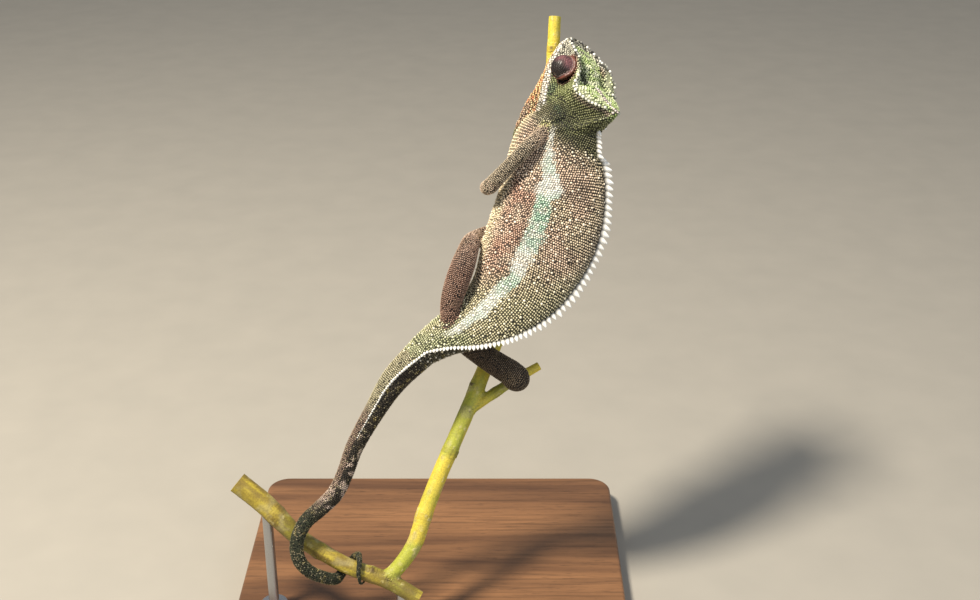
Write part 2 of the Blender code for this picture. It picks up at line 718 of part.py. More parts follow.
def rounded_plate(name, size, corner, edge):
    """Flat rectangular plate with round corners and softened top and bottom edges."""
    verts, faces = [], []
    steps = 5
    layers = ((edge, 0.0), (0.0, edge), (0.0, size[2] - edge), (edge, size[2]))
    for inset, height in layers:
        for cx, cy, start in ((1, 1, 0), (-1, 1, 90), (-1, -1, 180), (1, -1, 270)):
            for k in range(steps):
                a = math.radians(start + 90 * k / (steps - 1))
                radius = corner - inset
                verts.append((((size[0] / 2 - corner) * cx + radius * math.cos(a)) * MM,
                              ((size[1] / 2 - corner) * cy + radius * math.sin(a)) * MM, height * MM))
    around = 4 * steps
    for r in range(3):
        for k in range(around):
            a, b = r * around + k, r * around + (k + 1) % around
            faces.append((a, b, b + around, a + around))
    faces.append(tuple(range(around)))
    faces.append(tuple(3 * around + k for k in range(around)))
    return mesh_object(name, verts, faces)


def turret(name, centre, gaze):
    """Eye turret: the scaly lid cone over the eyeball, with a small rimmed opening and the pupil in it."""
    gaze = np.array(gaze, float)
    gaze /= np.linalg.norm(gaze)
    a_dir = np.cross(gaze, (0, 0, 1.0))
    a_dir /= np.linalg.norm(a_dir)
    b_dir = np.cross(gaze, a_dir)
    outline = [(158, 1.0), (132, 1.0), (106, 1.0), (80, 1.0), (56, 1.01), (34, 1.03), (17, 1.06), (12, 1.0)]
    rings = []
    for polar, share in outline:
        polar = math.radians(polar)
        arm = EYE_RADIUS * share
        rings.append([np.array(centre) + arm * (gaze * math.cos(polar) + math.sin(polar)
                                                * (a_dir * math.cos(a) + b_dir * math.sin(a)))
                      for a in (2 * math.pi * k / 12 for k in range(12))])
    return loft(name, rings, np.array(centre) - gaze * EYE_RADIUS,
                np.array(centre) + gaze * EYE_RADIUS * 1.03)


def paint(obj, name, colour, roughness, metallic=0.0):
    material = bpy.data.materials.get(name) or bpy.data.materials.new(name)
    material.use_nodes = True
    shader = material.node_tree.nodes["Principled BSDF"]
    shader.inputs["Base Color"].default_value = (*colour, 1)
    shader.inputs["Roughness"].default_value = roughness
    shader.inputs["Metallic"].default_value = metallic
    obj.data.materials.clear()
    obj.data.materials.append(material)


def smooth_shade(obj, angle=38.0):
    for polygon in obj.data.polygons:
        polygon.use_smooth = True
    obj.data.set_sharp_from_angle(angle=math.radians(angle))


def mouth_cut():
    """Thin sheet along the closed mouth and down behind the throat, parting the lower jaw from the head."""
    line = [(50, 5.4), (40, 2.8), (28, 0.2), (14, -1.2), (2.5, -2.3), (0.5, -12), (0.5, -34)]
    rings = []
    for i, (x, z) in enumerate(line):
        before = line[max(i - 1, 0)]
        after = line[min(i + 1, len(line) - 1)]
        run = Vector((after[0] - before[0], after[1] - before[1])).normalized()
        nx, nz = -run.y * GAP * 0.6, run.x * GAP * 0.6
        rings.append([on_head(x + nx, -22, z + nz), on_head(x + nx, 26, z + nz),
                      on_head(x - nx, 26, z - nz), on_head(x - nx, -22, z - nz)])
    return loft("mouth", rings)


EYE_AT = {"eye_left": on_head(22.0, 14.0, 13.8), "eye_right": on_head(22.0, -14.0, 13.8)}
GAZE = {"eye_left": (-0.74, -0.6, -0.3), "eye_right": HEAD_TURN @ Vector((0.55, -0.83, -0.05))}

for old in list(bpy.data.objects):
    bpy.data.objects.remove(old)

# join the animal into one body, then open the eye sockets and clear it from the wood it holds
flesh = body_tube("flesh")
flesh = cut_with(flesh, head_shape("head"), "UNION")
for name in LIMBS:
    for piece in limb_tubes(name) + [fused(name + "_foot", limb_foot(name), FOOT_GRAIN, FOOT_FACES)]:
        flesh = cut_with(flesh, piece, "UNION")
flesh = cut_with(flesh, crest_cones(), "UNION", True)
for name, centre in EYE_AT.items():
    flesh = cut_with(flesh, ball("socket", centre, (EYE_RADIUS + GAP,) * 3, steps=9))
for rows in (BRANCH, STEM, TWIG):
    flesh = cut_with(flesh, flat_tube("clear", rows, 10, 22, GAP, 2.0))

# thin cuts where a preparator would part the body
cuts = [
    slab(on_head(-8.9, 4, 5), HEAD_TURN @ Vector((1, 0, 0.12)), 33),
    mouth_cut(),
    slab((35, 54, 0), (0.1, 1, 0), 44),
    slab((6, -2, 0), (0.62, 0.78, 0), 30),
    slab((-42, -32.5, 0), (0.75, 0.66, 0), 16),
    slab((-78.5, -83, 0), (0.45, 0.9, 0), 12),
    slab((-107.8, -131.5, -1.2), (0.38, 0.92, 0), 8),
]
for name, limb in LIMBS.items():
    for part, share, radius in (("upper", LIMB_CUTS[name], 7.5), ("upper", 1.0, 10.0), ("lower", 0.97, 6.0)):
        centre, direction = along_limb(limb[part], share)
        if share == 1.0:
            after = along_limb(limb["lower"], 0.06)[1]
            inward = after - direction
            centre = centre + 2.5 * inward / np.linalg.norm(inward)
            direction = direction + after
        cuts.append(slab(centre, direction, radius if name != "hind_right" else radius + 1.2))

# the mouth sheet crosses the neck slab's reach, so each cut is made in turn
for cutter in cuts:
    flesh = cut_with(flesh, cutter)

anchors = {
    "head": on_head(8, 0, 12),
    "lower_jaw": on_head(25, 2, -5),
    "chest": (36, 72, 0),
    "belly": (28, 30, 0),
    "pelvis": (-15, -16, 0),
    "tail_root": (-64, -60, 0),
    "tail_middle": (-88.2, -110.3, -0.5),
    "tail_coil": (-109.8, -138, -1.2),
}
for name, limb in LIMBS.items():
    upper, lower, end = (f"{part}_{name.split('_')[1]}" for part in PART_NAMES[name.split("_")[0]])
    anchors[upper] = along_limb(limb["upper"], 0.8)[0]
    anchors[lower] = along_limb(limb["lower"], 0.5)[0]
    hub, along, radius = path_frame(STEM if limb["holds"] == "stem" else TWIG, limb["near"])
    out = np.array(limb["lower"][-1][:3]) - hub
    out /= np.linalg.norm(out)
    anchors[end] = hub + out * (radius + 2.6)

nodes = parted(flesh, anchors)
for name, centre in EYE_AT.items():
    nodes[name] = turret(name, centre, GAZE[name])

# the forked branch it climbs: a thick cut length, the stem rising from it, and the stem's side twig
nodes["perch_branch"] = flat_tube("perch_branch", BRANCH, 10, 11)
nodes["perch_stem"] = cut_with(flat_tube("perch_stem", STEM, 10, 13), flat_tube("cope", BRANCH, 10, 11, GAP))
nodes["perch_twig"] = cut_with(flat_tube("perch_twig", TWIG, 10, 4), flat_tube("cope", STEM, 10, 13, GAP))

# display stand: a flat base and two short rods, coped to the branch's underside
nodes["stand_base"] = rounded_plate("stand_base", BASE_SIZE, BASE_CORNER, BASE_EDGE)
for name, at_u in (("stand_rod_left", -129.0), ("stand_rod_right", -51.5)):
    line = branch_line(200)
    point = place(line[int(np.argmin(np.abs(line[:, 0] - at_u))), :3])
    floor = BASE_SIZE[2] + GAP
    rod = turned(name, point.x / MM, point.y / MM, (
        (ROD_FOOT_RADIUS, floor), (ROD_FOOT_RADIUS, floor + ROD_FOOT_HEIGHT - 0.6),
        (ROD_FOOT_RADIUS - 0.6, floor + ROD_FOOT_HEIGHT), (ROD_RADIUS, floor + ROD_FOOT_HEIGHT),
        (ROD_RADIUS, point.z / MM - 1.0)))
    nodes[name] = cut_with(rod, flat_tube("cope", BRANCH, 10, 16, GAP))

FINISHES = {
    "skin_flank": ((0.42, 0.37, 0.24), 0.62),
    "skin_head": ((0.36, 0.42, 0.22), 0.6),
    "skin_tail": ((0.20, 0.17, 0.12), 0.62),
    "skin_limb": ((0.36, 0.30, 0.24), 0.62),
    "eye_lid": ((0.16, 0.07, 0.09), 0.45),
    "bark": ((0.48, 0.42, 0.12), 0.6),
    "stand_wood": ((0.30, 0.20, 0.13), 0.45),
    "stand_steel": ((0.55, 0.55, 0.56), 0.35),
}
for name, obj in nodes.items():
    obj.name = name
    obj.data.name = name
    slot = "skin_limb"
    if name in ("head", "lower_jaw"):
        slot = "skin_head"
    elif name in ("chest", "belly", "pelvis"):
        slot = "skin_flank"
    elif name.startswith("tail"):
        slot = "skin_tail"
    elif name.startswith("eye"):
        slot = "eye_lid"
    elif name.startswith("perch"):
        slot = "bark"
    elif name == "stand_base":
        slot = "stand_wood"
    elif name.startswith("stand_rod"):
        slot = "stand_steel"
    colour, roughness = FINISHES[slot]
    paint(obj, slot, colour, roughness, 1.0 if slot == "stand_steel" else 0.0)
    smooth_shade(obj)

total = 0
for name in sorted(nodes):
    count = sum(len(p.vertices) - 2 for p in nodes[name].data.polygons)
    total += count
    print(name, count, "triangles")
print("in all", total)
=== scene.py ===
# %% [markdown]
# # Panther chameleon on a cut branch
# A life-size still model of an adult male panther chameleon, climbing a forked branch on a small display
# stand. The solids that carry it are loaded first. This lesson then gives it its skin, scales, eyes, crest,
# claws, bark and stand finishes, in millimetres, and sets each piece in metres at its place.

# %% Load the imported model
import itertools
import math

import bmesh
import bpy
import numpy as np
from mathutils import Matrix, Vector
from mathutils.bvhtree import BVHTree
from mathutils.kdtree import KDTree


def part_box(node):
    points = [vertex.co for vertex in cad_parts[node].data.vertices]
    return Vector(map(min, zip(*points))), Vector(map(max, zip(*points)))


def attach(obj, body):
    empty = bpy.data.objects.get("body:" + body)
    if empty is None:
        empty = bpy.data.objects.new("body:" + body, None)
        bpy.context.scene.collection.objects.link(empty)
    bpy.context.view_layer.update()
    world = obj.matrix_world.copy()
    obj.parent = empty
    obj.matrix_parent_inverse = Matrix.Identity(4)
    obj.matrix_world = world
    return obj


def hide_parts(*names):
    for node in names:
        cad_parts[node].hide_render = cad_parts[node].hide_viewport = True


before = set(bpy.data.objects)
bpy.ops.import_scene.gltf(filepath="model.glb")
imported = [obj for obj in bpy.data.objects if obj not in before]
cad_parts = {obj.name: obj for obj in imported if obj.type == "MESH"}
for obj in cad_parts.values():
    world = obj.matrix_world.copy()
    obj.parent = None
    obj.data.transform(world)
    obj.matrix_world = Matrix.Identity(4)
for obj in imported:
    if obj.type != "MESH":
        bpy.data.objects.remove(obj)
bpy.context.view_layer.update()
MM = 0.001
dice = np.random.default_rng(7)

# %% [markdown]
# ## Three frames of reference
# The animal lies along a plane that leans back with the branch. Its lengths are easiest to give in that
# plane: u sideways, v up the plane, w into the depth. The head has a frame of its own, x to the snout, y to
# the animal's left and z to the crown. Both are plain rotations, so whole arrays of points turn at once.

# %% Plane, head and world
LEAN = math.radians(25.0)
PLANE_AT = np.array((35.0, -15.0, 197.0))
TO_WORLD = np.array(((1, 0, 0),
                     (0, math.sin(LEAN), math.cos(LEAN)),
                     (0, math.cos(LEAN), -math.sin(LEAN))))
HEAD_ROLL, HEAD_YAW, HEAD_SPIN = (math.radians(a) for a in (47.0, 15.0, -2.0))
HEAD_AT = np.array((41.5, 104.8, 5.0))


def to_world(points):
    """Plane millimetres to world metres."""
    return (np.asarray(points, float) @ TO_WORLD.T + PLANE_AT) * MM


def way_to_world(vectors):
    return np.asarray(vectors, float) @ TO_WORLD.T


def to_plane(points):
    return (np.asarray(points, float) / MM - PLANE_AT) @ TO_WORLD


def way_to_plane(vectors):
    return np.asarray(vectors, float) @ TO_WORLD


def head_axes():
    cr, sr = math.cos(HEAD_ROLL), math.sin(HEAD_ROLL)
    cy, sy = math.cos(HEAD_YAW), math.sin(HEAD_YAW)
    cs, ss = math.cos(HEAD_SPIN), math.sin(HEAD_SPIN)
    roll = np.array(((1, 0, 0), (0, cr, sr), (0, -sr, cr)))
    stand_up = np.array(((0, 0, 1), (1, 0, 0), (0, -1, 0)))
    yaw = np.array(((1, 0, 0), (0, cy, -sy), (0, sy, cy)))
    spin = np.array(((cs, -ss, 0), (ss, cs, 0), (0, 0, 1)))
    return spin @ yaw @ stand_up @ roll


HEAD_TURN = head_axes()


def on_head(points):
    """Head millimetres to plane millimetres."""
    return np.asarray(points, float) @ HEAD_TURN.T + HEAD_AT


def in_head(points):
    return (np.asarray(points, float) - HEAD_AT) @ HEAD_TURN


print("snout tip at", np.round(to_world(on_head((46.5, 0, 7))), 4))

# %% [markdown]
# ## Camera
# The camera looks square at the leaning plane, a little above the animal, with a normal lens.

# %% Camera
VIEW_DISTANCE = 0.776       # metres


def placed(name, data):
    """New object in the scene."""
    obj = bpy.data.objects.new(name, data)
    bpy.context.scene.collection.objects.link(obj)
    return obj


look = Vector((0.0, math.cos(LEAN), -math.sin(LEAN)))
camera = placed("camera", bpy.data.cameras.new("camera"))
camera.data.lens = 50.0
camera.data.sensor_width = 36.0
camera.data.clip_start = 0.01
camera.location = Vector(PLANE_AT * MM) - look * VIEW_DISTANCE
camera.rotation_euler = look.to_track_quat("-Z", "Y").to_euler()
bpy.context.scene.camera = camera
print("camera at", [round(c, 3) for c in camera.location])

# %% [markdown]
# ## Smooth lines through a few numbers
# Everything long is drawn as a smooth line through a few given rows and read back at even steps.
# The head's lines are read at any place along it instead, as heights and half-breadths.

# %% Splines and profiles


def spline(rows, count, across=3):
    """Rows of numbers, resampled to count rows evenly along a smooth curve through them."""
    rows = np.array(rows, float)
    ends = np.vstack((2 * rows[0] - rows[1], rows, 2 * rows[-1] - rows[-2]))
    t = np.linspace(0, 1, 24, endpoint=False)[:, None]
    runs = []
    for a, b, c, d in zip(ends, ends[1:], ends[2:], ends[3:]):
        runs.append(0.5 * (2 * b + (c - a) * t + (2 * a - 5 * b + 4 * c - d) * t ** 2
                           + (3 * b - a - 3 * c + d) * t ** 3))
    fine = np.vstack(runs + [rows[-1:]])
    along = lengths(fine[:, :across])
    wanted = np.linspace(0, along[-1], count)
    return np.column_stack([np.interp(wanted, along, fine[:, k]) for k in range(fine.shape[1])])


def lengths(points):
    """Distance run along a line of points."""
    return np.concatenate(([0.0], np.cumsum(np.linalg.norm(np.diff(points, axis=0), axis=1))))


def profile(pairs, x):
    """Values at x of a smooth line through (position, value) pairs."""
    knots = np.array(sorted(pairs), float)
    xs, ys = knots[:, 0], knots[:, 1]
    low = np.maximum(np.arange(len(xs)) - 1, 0)
    high = np.minimum(np.arange(len(xs)) + 1, len(xs) - 1)
    slopes = (ys[high] - ys[low]) / (xs[high] - xs[low])
    x = np.clip(np.asarray(x, float), xs[0], xs[-1])
    i = np.clip(np.searchsorted(xs, x, side="right") - 1, 0, len(xs) - 2)
    h = xs[i + 1] - xs[i]
    t = (x - xs[i]) / h
    return (ys[i] * (2 * t ** 3 - 3 * t ** 2 + 1) + slopes[i] * h * (t ** 3 - 2 * t ** 2 + t)
            + ys[i + 1] * (-2 * t ** 3 + 3 * t ** 2) + slopes[i + 1] * h * (t ** 3 - t ** 2))


def unit(vectors):
    vectors = np.asarray(vectors, float)
    return vectors / np.maximum(np.linalg.norm(vectors, axis=-1, keepdims=True), 1e-9)


def square_to(vector, way):
    """The vector's own direction once what lies along the way is taken out of it."""
    return unit(vector - way * np.dot(vector, way))


def turns(count):
    """Even steps round a full turn, in radians."""
    return np.linspace(0, 2 * np.pi, count, endpoint=False)


TO_VIEWER = np.array((0, 0, -1.0))      # out of the plane, in plane millimetres


# %% [markdown]
# ## Trunk and tail
# A chameleon's trunk is deep and narrow. Rows give the middle of each section, its height from back to belly,
# its breadth, and how far the back is rolled towards the viewer. The tail tapers, bends twice and winds round
# the branch, so its end is worked out from the branch's own line.

# %% Tables of the body
# u, v, w, height, breadth, roll in degrees
TRUNK = (
    (48, 112, -5, 30, 20, 40),
    (42.5, 98.5, -2, 45, 23, 27),
    (37.5, 84.5, 0, 53, 28, 13),
    (36, 63, 0, 60, 33, 8),
    (32, 44, 0, 63.5, 35, 7),
    (25.5, 27, 0, 62, 35, 9),
    (16.5, 10, 0, 55.5, 33.5, 15),
    (5.5, -3, 0, 46, 30.5, 26),
    (-8.5, -13, 0, 37.5, 27, 42),
    (-24, -20.5, 0, 28, 23, 60),
    (-37, -28, 0, 20.5, 19, 80),
)
# u, v, w, diameter
TAIL = (
    (-54, -45, 0, 16.2),
    (-65.6, -63, 0, 12.6),
    (-76.8, -83, 0, 10.8),
    (-82.3, -98, 0, 10.2),
    (-88.2, -110.3, -0.5, 10.2),
    (-97.2, -119.2, -1, 9.8),
    (-105.2, -126.6, -1.2, 9.2),
    (-109.8, -137, -1.2, 8.7),
    (-109.2, -147.2, -0.5, 8.4),
    (-103.4, -155, 2.0, 8.0),
    (-95, -159.4, 5.6, 7.7),
)
TAIL_ROOT_TWIST = -120.0    # degrees per tail length at which the ridge turns over the tail's root
COIL_TURNS = 1.15
COIL_FROM = -85.0           # u at which the coil starts
COIL_PITCH = 15.2
COIL_SLACK = 1.0
COIL_START_RADIUS = 3.7
TIP_RADIUS = 0.8
GAP = 0.3                   # between flesh and wood
# the wood it holds: u, v, w, radius
BRANCH = (
    (-145.5, -105, 8, 6.4),
    (-130.7, -117.2, 9.5, 6.2),
    (-119.5, -128.5, 10.3, 5.8),
    (-109.7, -137.6, 10.5, 5.3),
    (-98, -145, 10.5, 4.9),
    (-81.4, -154, 10.5, 4.9),
    (-60.7, -161.4, 10.5, 4.9),
    (-49.6, -167.4, 10.5, 4.8),
    (-41, -172.5, 10.5, 4.6),
)
STEM = (
    (-59, -160.5, 10.5, 4.4),
    (-50.5, -151.5, 11.2, 4.6),
    (-43.2, -140, 12.8, 4.9),
    (-37.3, -122, 15.5, 5.0),
    (-29, -101, 18.8, 4.9),
    (-15.5, -70, 23.2, 4.8),
    (-3.8, -42, 26.3, 4.7),
    (8.5, -11, 28.5, 4.5),
    (17, 20, 29.5, 4.4),
    (23, 50, 29.8, 4.3),
    (28.5, 80, 29.8, 4.2),
    (33, 108, 29.3, 4.1),
    (36.5, 136, 28, 3.9),
    (38.3, 167, 26.5, 3.8),
)
TWIG = (
    (-12.5, -65, 23.6, 3.3),
    (0, -56.5, 25.3, 3.2),
    (15.5, -46.5, 27.5, 3.0),
    (29, -39, 29.5, 2.7),
)

# %% Sections of trunk and tail


def coil_rows():
    """The tail's end: a narrowing coil round the branch, from under it, behind, over and round again."""
    line = spline(BRANCH, 200)
    start = int(np.argmin(np.abs(line[:, 0] - COIL_FROM)))
    stop = int(np.argmin(np.abs(line[:, 0] - COIL_FROM - COIL_PITCH)))
    rows = []
    for t in np.linspace(0, 1, 17):
        here = start + (stop - start) * t
        at = line[int(round(here))]
        along = unit(line[int(here) + 3, :3] - line[int(here) - 3, :3])
        near = square_to(TO_VIEWER, along)
        below = np.cross(along, near)
        if below[1] > 0:
            below = -below
        angle = math.pi / 2 + 2 * math.pi * COIL_TURNS * t
        thick = COIL_START_RADIUS + (TIP_RADIUS - COIL_START_RADIUS) * t ** 0.85
        reach = at[3] + thick + 1.5 * GAP + COIL_SLACK * (1 - t) ** 2
        rows.append((*(at[:3] + reach * (near * math.cos(angle) + below * math.sin(angle))), 2 * thick))
    return rows


def body_sections(trunk_count, tail_count):
    """Arrays of centre, tangent, back direction, height and breadth all along trunk and tail."""
    trunk = spline(TRUNK, trunk_count)
    last = TRUNK[-1]
    tail = spline([(*last[:3], (last[3] + last[4]) / 2), *TAIL, *coil_rows()], tail_count)
    centres = np.vstack((trunk[:, :3], tail[1:, :3]))
    tangents = unit(np.gradient(centres, axis=0))
    sections = []
    keep = np.array((1.0, 0, 0))        # at the neck the level direction points to positive u
    for i in range(trunk_count):
        t = tangents[i]
        level = unit(np.cross(t, (0, 0, 1.0)))
        if np.dot(level, keep) < 0:
            level = -level
        keep = level
        roll = math.radians(trunk[i, 5])
        back = square_to(level * math.cos(roll) + TO_VIEWER * math.sin(roll), t)
        sections.append((centres[i], t, back, trunk[i, 3], trunk[i, 4]))
    for j in range(1, tail_count):
        t = tangents[trunk_count - 1 + j]
        back = square_to(back, t)
        if j < tail_count * 0.15:
            extra = math.radians(TAIL_ROOT_TWIST / tail_count)
            back = back * math.cos(extra) + np.cross(t, back) * math.sin(extra)
        share = min(j / (0.11 * tail_count), 1)
        sections.append((centres[trunk_count - 1 + j], t, back, tail[j, 3] * (1 + 0.05 * (1 - share)),
                         tail[j, 3] * (0.93 + 0.05 * share)))
    return [np.array(column) for column in zip(*sections)]


TRUNK_COUNT, TAIL_COUNT = 130, 300
centres, tangents, backs, heights, breadths = body_sections(TRUNK_COUNT, TAIL_COUNT)
body_run = lengths(centres)
VENT = body_run[TRUNK_COUNT - 1]
print("trunk", round(VENT, 1), "mm, tail", round(body_run[-1] - VENT, 1), "mm along the curve")

# %% Grids of points: one row of points round the piece at each step along it
pieces = {}                 # name: points (along, round, 3), run (along), turn (round)


def body_grid(around):
    angle = turns(around)
    rise, out = np.cos(angle), np.sin(angle)
    place = np.arange(len(centres)) / TRUNK_COUNT
    fullness = 0.2 * np.clip((1.14 - place) / 0.28, 0, 1)
    out = out * (1 - fullness[:, None] * rise) * (1 - 0.12 * np.maximum(rise, 0) ** 4)
    sides = np.cross(tangents, backs)
    return (centres[:, None] + backs[:, None] * (rise * heights[:, None] / 2)[..., None]
            + sides[:, None] * (out * breadths[:, None] / 2)[..., None])


pieces["body"] = (body_grid(96), body_run, np.linspace(0, 360, 96, endpoint=False))
print("body grid", pieces["body"][0].shape)

# %% [markdown]
# ## Head
# The head is drawn by its lines from the nape to the snout: throat, lips, cheek, the lateral crest that rises
# into the casque, and the crown. A ring round the head at each step joins those lines on both sides.

# %% Lines of the head
THROAT = ((47, 4.0), (44, -0.8), (38, -7.0), (30, -9.5), (20, -13.8), (10, -19.5), (0, -23.3),
          (-10, -25.5), (-17, -22.5))
THROAT_BREADTH = ((47, 2), (38, 3.6), (28, 4.6), (15, 5.6), (0, 6.5), (-17, 8))
THROAT_LEAN = 0.36          # how far the throat hangs over to the shown side, per unit of its depth
LIP_HEIGHT = ((47, 5.0), (40, 2.8), (28, 0.2), (14, -1.2), (4, -2.2), (-4, -3), (-17, -3))
LIP_BREADTH = ((47, 2.6), (44, 5.4), (38, 8.2), (30, 10.6), (20, 12.6), (8, 14.0), (0, 14.0), (-6, 12.4),
               (-17, 10))
CHEEK_HEIGHT = ((47, 7), (38, 9), (28, 11), (18, 12), (6, 11), (-4, 12), (-17, 8))
CHEEK_BREADTH = ((47, 2.9), (44, 5.2), (38, 7.0), (31, 7.9), (22, 8.4), (13, 12.0), (5, 14.0), (-4, 12.6),
                 (-17, 9))
CREST_HEIGHT = ((47.5, 9.8), (43, 12.6), (38, 16.0), (32, 20.4), (24, 26.2), (17, 27.6), (11.6, 26.4),
                (7, 25.4), (3, 26.8), (-0.8, 29.6), (-4.4, 33.7), (-10, 40.8), (-13, 27.0), (-17, 13))
CREST_BREADTH = ((47.5, 3.2), (44, 5.9), (38, 9.2), (32, 11.4), (24, 13.5), (17, 14.6), (11.6, 16.1),
                 (7, 17.8), (3, 17.1), (-0.8, 14.9), (-4.4, 10.8), (-10, 2.4), (-13, 6.8), (-17, 7.5))
CROWN_HEIGHT = ((47.5, 9.6), (43, 11.8), (38, 14.6), (32, 18.6), (26, 22.0), (20, 23.8), (16, 24.3),
                (12, 25.6), (8, 28.2), (4, 31.2), (1, 33.4), (-4, 37.2), (-10, 42.6), (-13, 33.0), (-17, 19))
CROWN_FULL = ((47.5, 0.5), (30, 0.5), (20, 0.6), (12, 0.85), (4, 0.95), (-4, 0.95), (-10, 0.6), (-17, 0.5))
SNOUT_X, NAPE_X = 46.5, -16.5
CASQUE_X = -10.0             # where the casque is highest
EYE_RADIUS = 7.4
EYE_MIDDLE = {"eye_left": (22.0, 14.0, 13.8), "eye_right": (22.0, -14.0, 13.8)}


def head_ring(x, low_count, high_count):
    """Outline of the head at x, from the throat up its right side, over the crown and down its left."""
    throat, lip, cheek = profile(THROAT, x), profile(LIP_HEIGHT, x), profile(CHEEK_HEIGHT, x)
    crest, crown = profile(CREST_HEIGHT, x), profile(CROWN_HEIGHT, x)
    breadth = profile(CREST_BREADTH, x)
    lip_out = profile(LIP_BREADTH, x)
    low = ((0, throat), (profile(THROAT_BREADTH, x), throat + 1.6), (lip_out * 0.93, lip - 2.6),
           (lip_out, lip + 0.6), (profile(CHEEK_BREADTH, x), cheek),
           (breadth * 0.94, crest - 2.4), (breadth, crest))
    full = profile(CROWN_FULL, x)
    if crown > crest + 3:
        shoulder = crest + (crown - crest) * full - 1.2 * (1 - full)
    else:
        shoulder = min(crest, crown) - 0.9
    high = ((breadth, crest), (breadth * 0.66, shoulder),
            (breadth * 0.26, crown - 1.6 * (1 - full)), (0, crown))
    half = np.vstack((spline(low, low_count, 2), spline(high, high_count, 2)[1:]))
    ring = np.vstack((half * (-1, 1), (half * (1, 1))[-2:0:-1]))
    ring[:, 0] -= THROAT_LEAN * np.minimum(ring[:, 1], 0)
    return np.column_stack((np.full(len(ring), x), ring))


HEAD_LOW, HEAD_HIGH = 46, 26
head_steps = np.linspace(NAPE_X, SNOUT_X, 120)
head_grid = np.array([on_head(head_ring(x, HEAD_LOW, HEAD_HIGH)) for x in head_steps])
pieces["head"] = (head_grid, head_steps - NAPE_X, np.linspace(0, 360, head_grid.shape[1], endpoint=False))
head_tall = max(z for x, z in CROWN_HEIGHT) - min(z for x, z in THROAT)
print("head", round(SNOUT_X - NAPE_X, 1), "mm long,", round(head_tall, 1), "mm from throat to casque")

# %% [markdown]
# ## Legs and mitten feet
# Each leg is two round lengths. Each foot is a palm with two opposed bundles of toes closed round the wood,
# which the tail and all four feet grip.

# %% Legs
LIMBS = {
    "fore_left": {
        "upper": ((30, 94, -9, 4.2), (22, 86.5, -15.6, 4.3), (11, 75, -15.6, 4.2), (0.2, 64, -11.5, 4.7)),
        "lower": ((0.2, 64, -11.5, 4.7), (-1.6, 63.8, -3.5, 4.3), (0.5, 66.5, 8, 3.7), (8.5, 72, 19.5, 3.2),
                  (20, 76.5, 23.2, 2.9)),
        "holds": STEM, "near": (28.5, 80, 29.8), "toes": (3, 2)},
    "fore_right": {
        "upper": ((28, 93, 8, 4.6), (36, 85.5, 18, 4.6), (46, 75, 23.5, 4.2), (54, 67, 25.5, 3.9)),
        "lower": ((54, 67, 25.5, 3.9), (57.5, 71, 31.5, 3.7), (54.5, 87, 34, 3.3), (42.6, 102.3, 29.6, 2.9)),
        "holds": STEM, "near": (33, 108, 29.3), "toes": (2, 3)},
    "hind_left": {
        "upper": ((-23, -15, -5, 5.2), (-22.2, -2, -8, 6.0), (-18.9, 9, -9.5, 7.0), (-14.9, 20.5, -8.8, 6.9),
                  (-11.3, 31.5, -3.5, 5.7)),
        "lower": ((-11.3, 31.5, -3.5, 5.7), (-10, 34.8, 5, 4.6), (-4.5, 38.5, 14.5, 3.8), (3.5, 42, 22, 3.3),
                  (13, 45, 24.2, 3.0)),
        "holds": STEM, "near": (22, 48, 29.8), "toes": (2, 3)},
    "hind_right": {
        "upper": ((-22, -18, 5, 6.0), (-12, -26, 9.5, 6.9), (0, -34.5, 9, 7.2), (12, -42, 8, 7.7)),
        "lower": ((12, -42, 8, 7.7), (15, -45, 11, 8.0), (16.2, -46, 15.5, 6.9), (16.2, -46.3, 19, 5.2)),
        "holds": TWIG, "near": (15.5, -46.5, 27.5), "toes": (3, 2)},
}
TOE_PITCH = 2.9
TOE_ROOT, TOE_REACH, MIDDLE_TOE_REACH = 18.0, 134.0, 148.0      # degrees round the wood
HIND_SCALE = 1.08           # hind feet are a little larger


def ups_along(ways):
    """A direction square to each way, carried along without twisting."""
    up, ups = TO_VIEWER, []
    for way in ways:
        up = square_to(up, way)
        ups.append(up)
    return ups


def tube_grid(rows, count, around):
    """Round length with domed ends through rows of (u, v, w, radius)."""
    line = spline(rows, count)
    ways = unit(np.gradient(line[:, :3], axis=0))
    ups = ups_along(ways)
    domed = ((0.35, 0.9), (0.75, 0.6), (0.94, 0.25))        # reach past the end and share of the radius
    stations = [(0, -reach, share) for reach, share in reversed(domed)]
    stations += [(i, 0, 1) for i in range(count)]
    stations += [(count - 1, reach, share) for reach, share in domed]
    turn = turns(around)[:, None]
    grid = []
    for i, reach, share in stations:
        middle = line[i, :3] + ways[i] * reach * line[i, 3]
        side = np.cross(ways[i], ups[i])
        grid.append(middle + line[i, 3] * share * (ups[i] * np.cos(turn) + side * np.sin(turn)))
    grid = np.array(grid)
    return grid, lengths(grid.mean(axis=1)), np.degrees(turn[:, 0])


def ball_grid(centre, radii, axes, steps, around):
    """Grid of an ellipsoid with its radii along three axes."""
    polar = np.linspace(0.06, math.pi - 0.06, steps)[:, None, None]
    turn = turns(around)[None, :, None]
    spots = (axes[0] * radii[0] * np.sin(polar) * np.cos(turn)
             + axes[1] * radii[1] * np.sin(polar) * np.sin(turn)
             + axes[2] * radii[2] * np.cos(polar))
    return np.asarray(centre) + spots, polar[:, 0, 0] * radii[2], np.degrees(turn[0, :, 0])


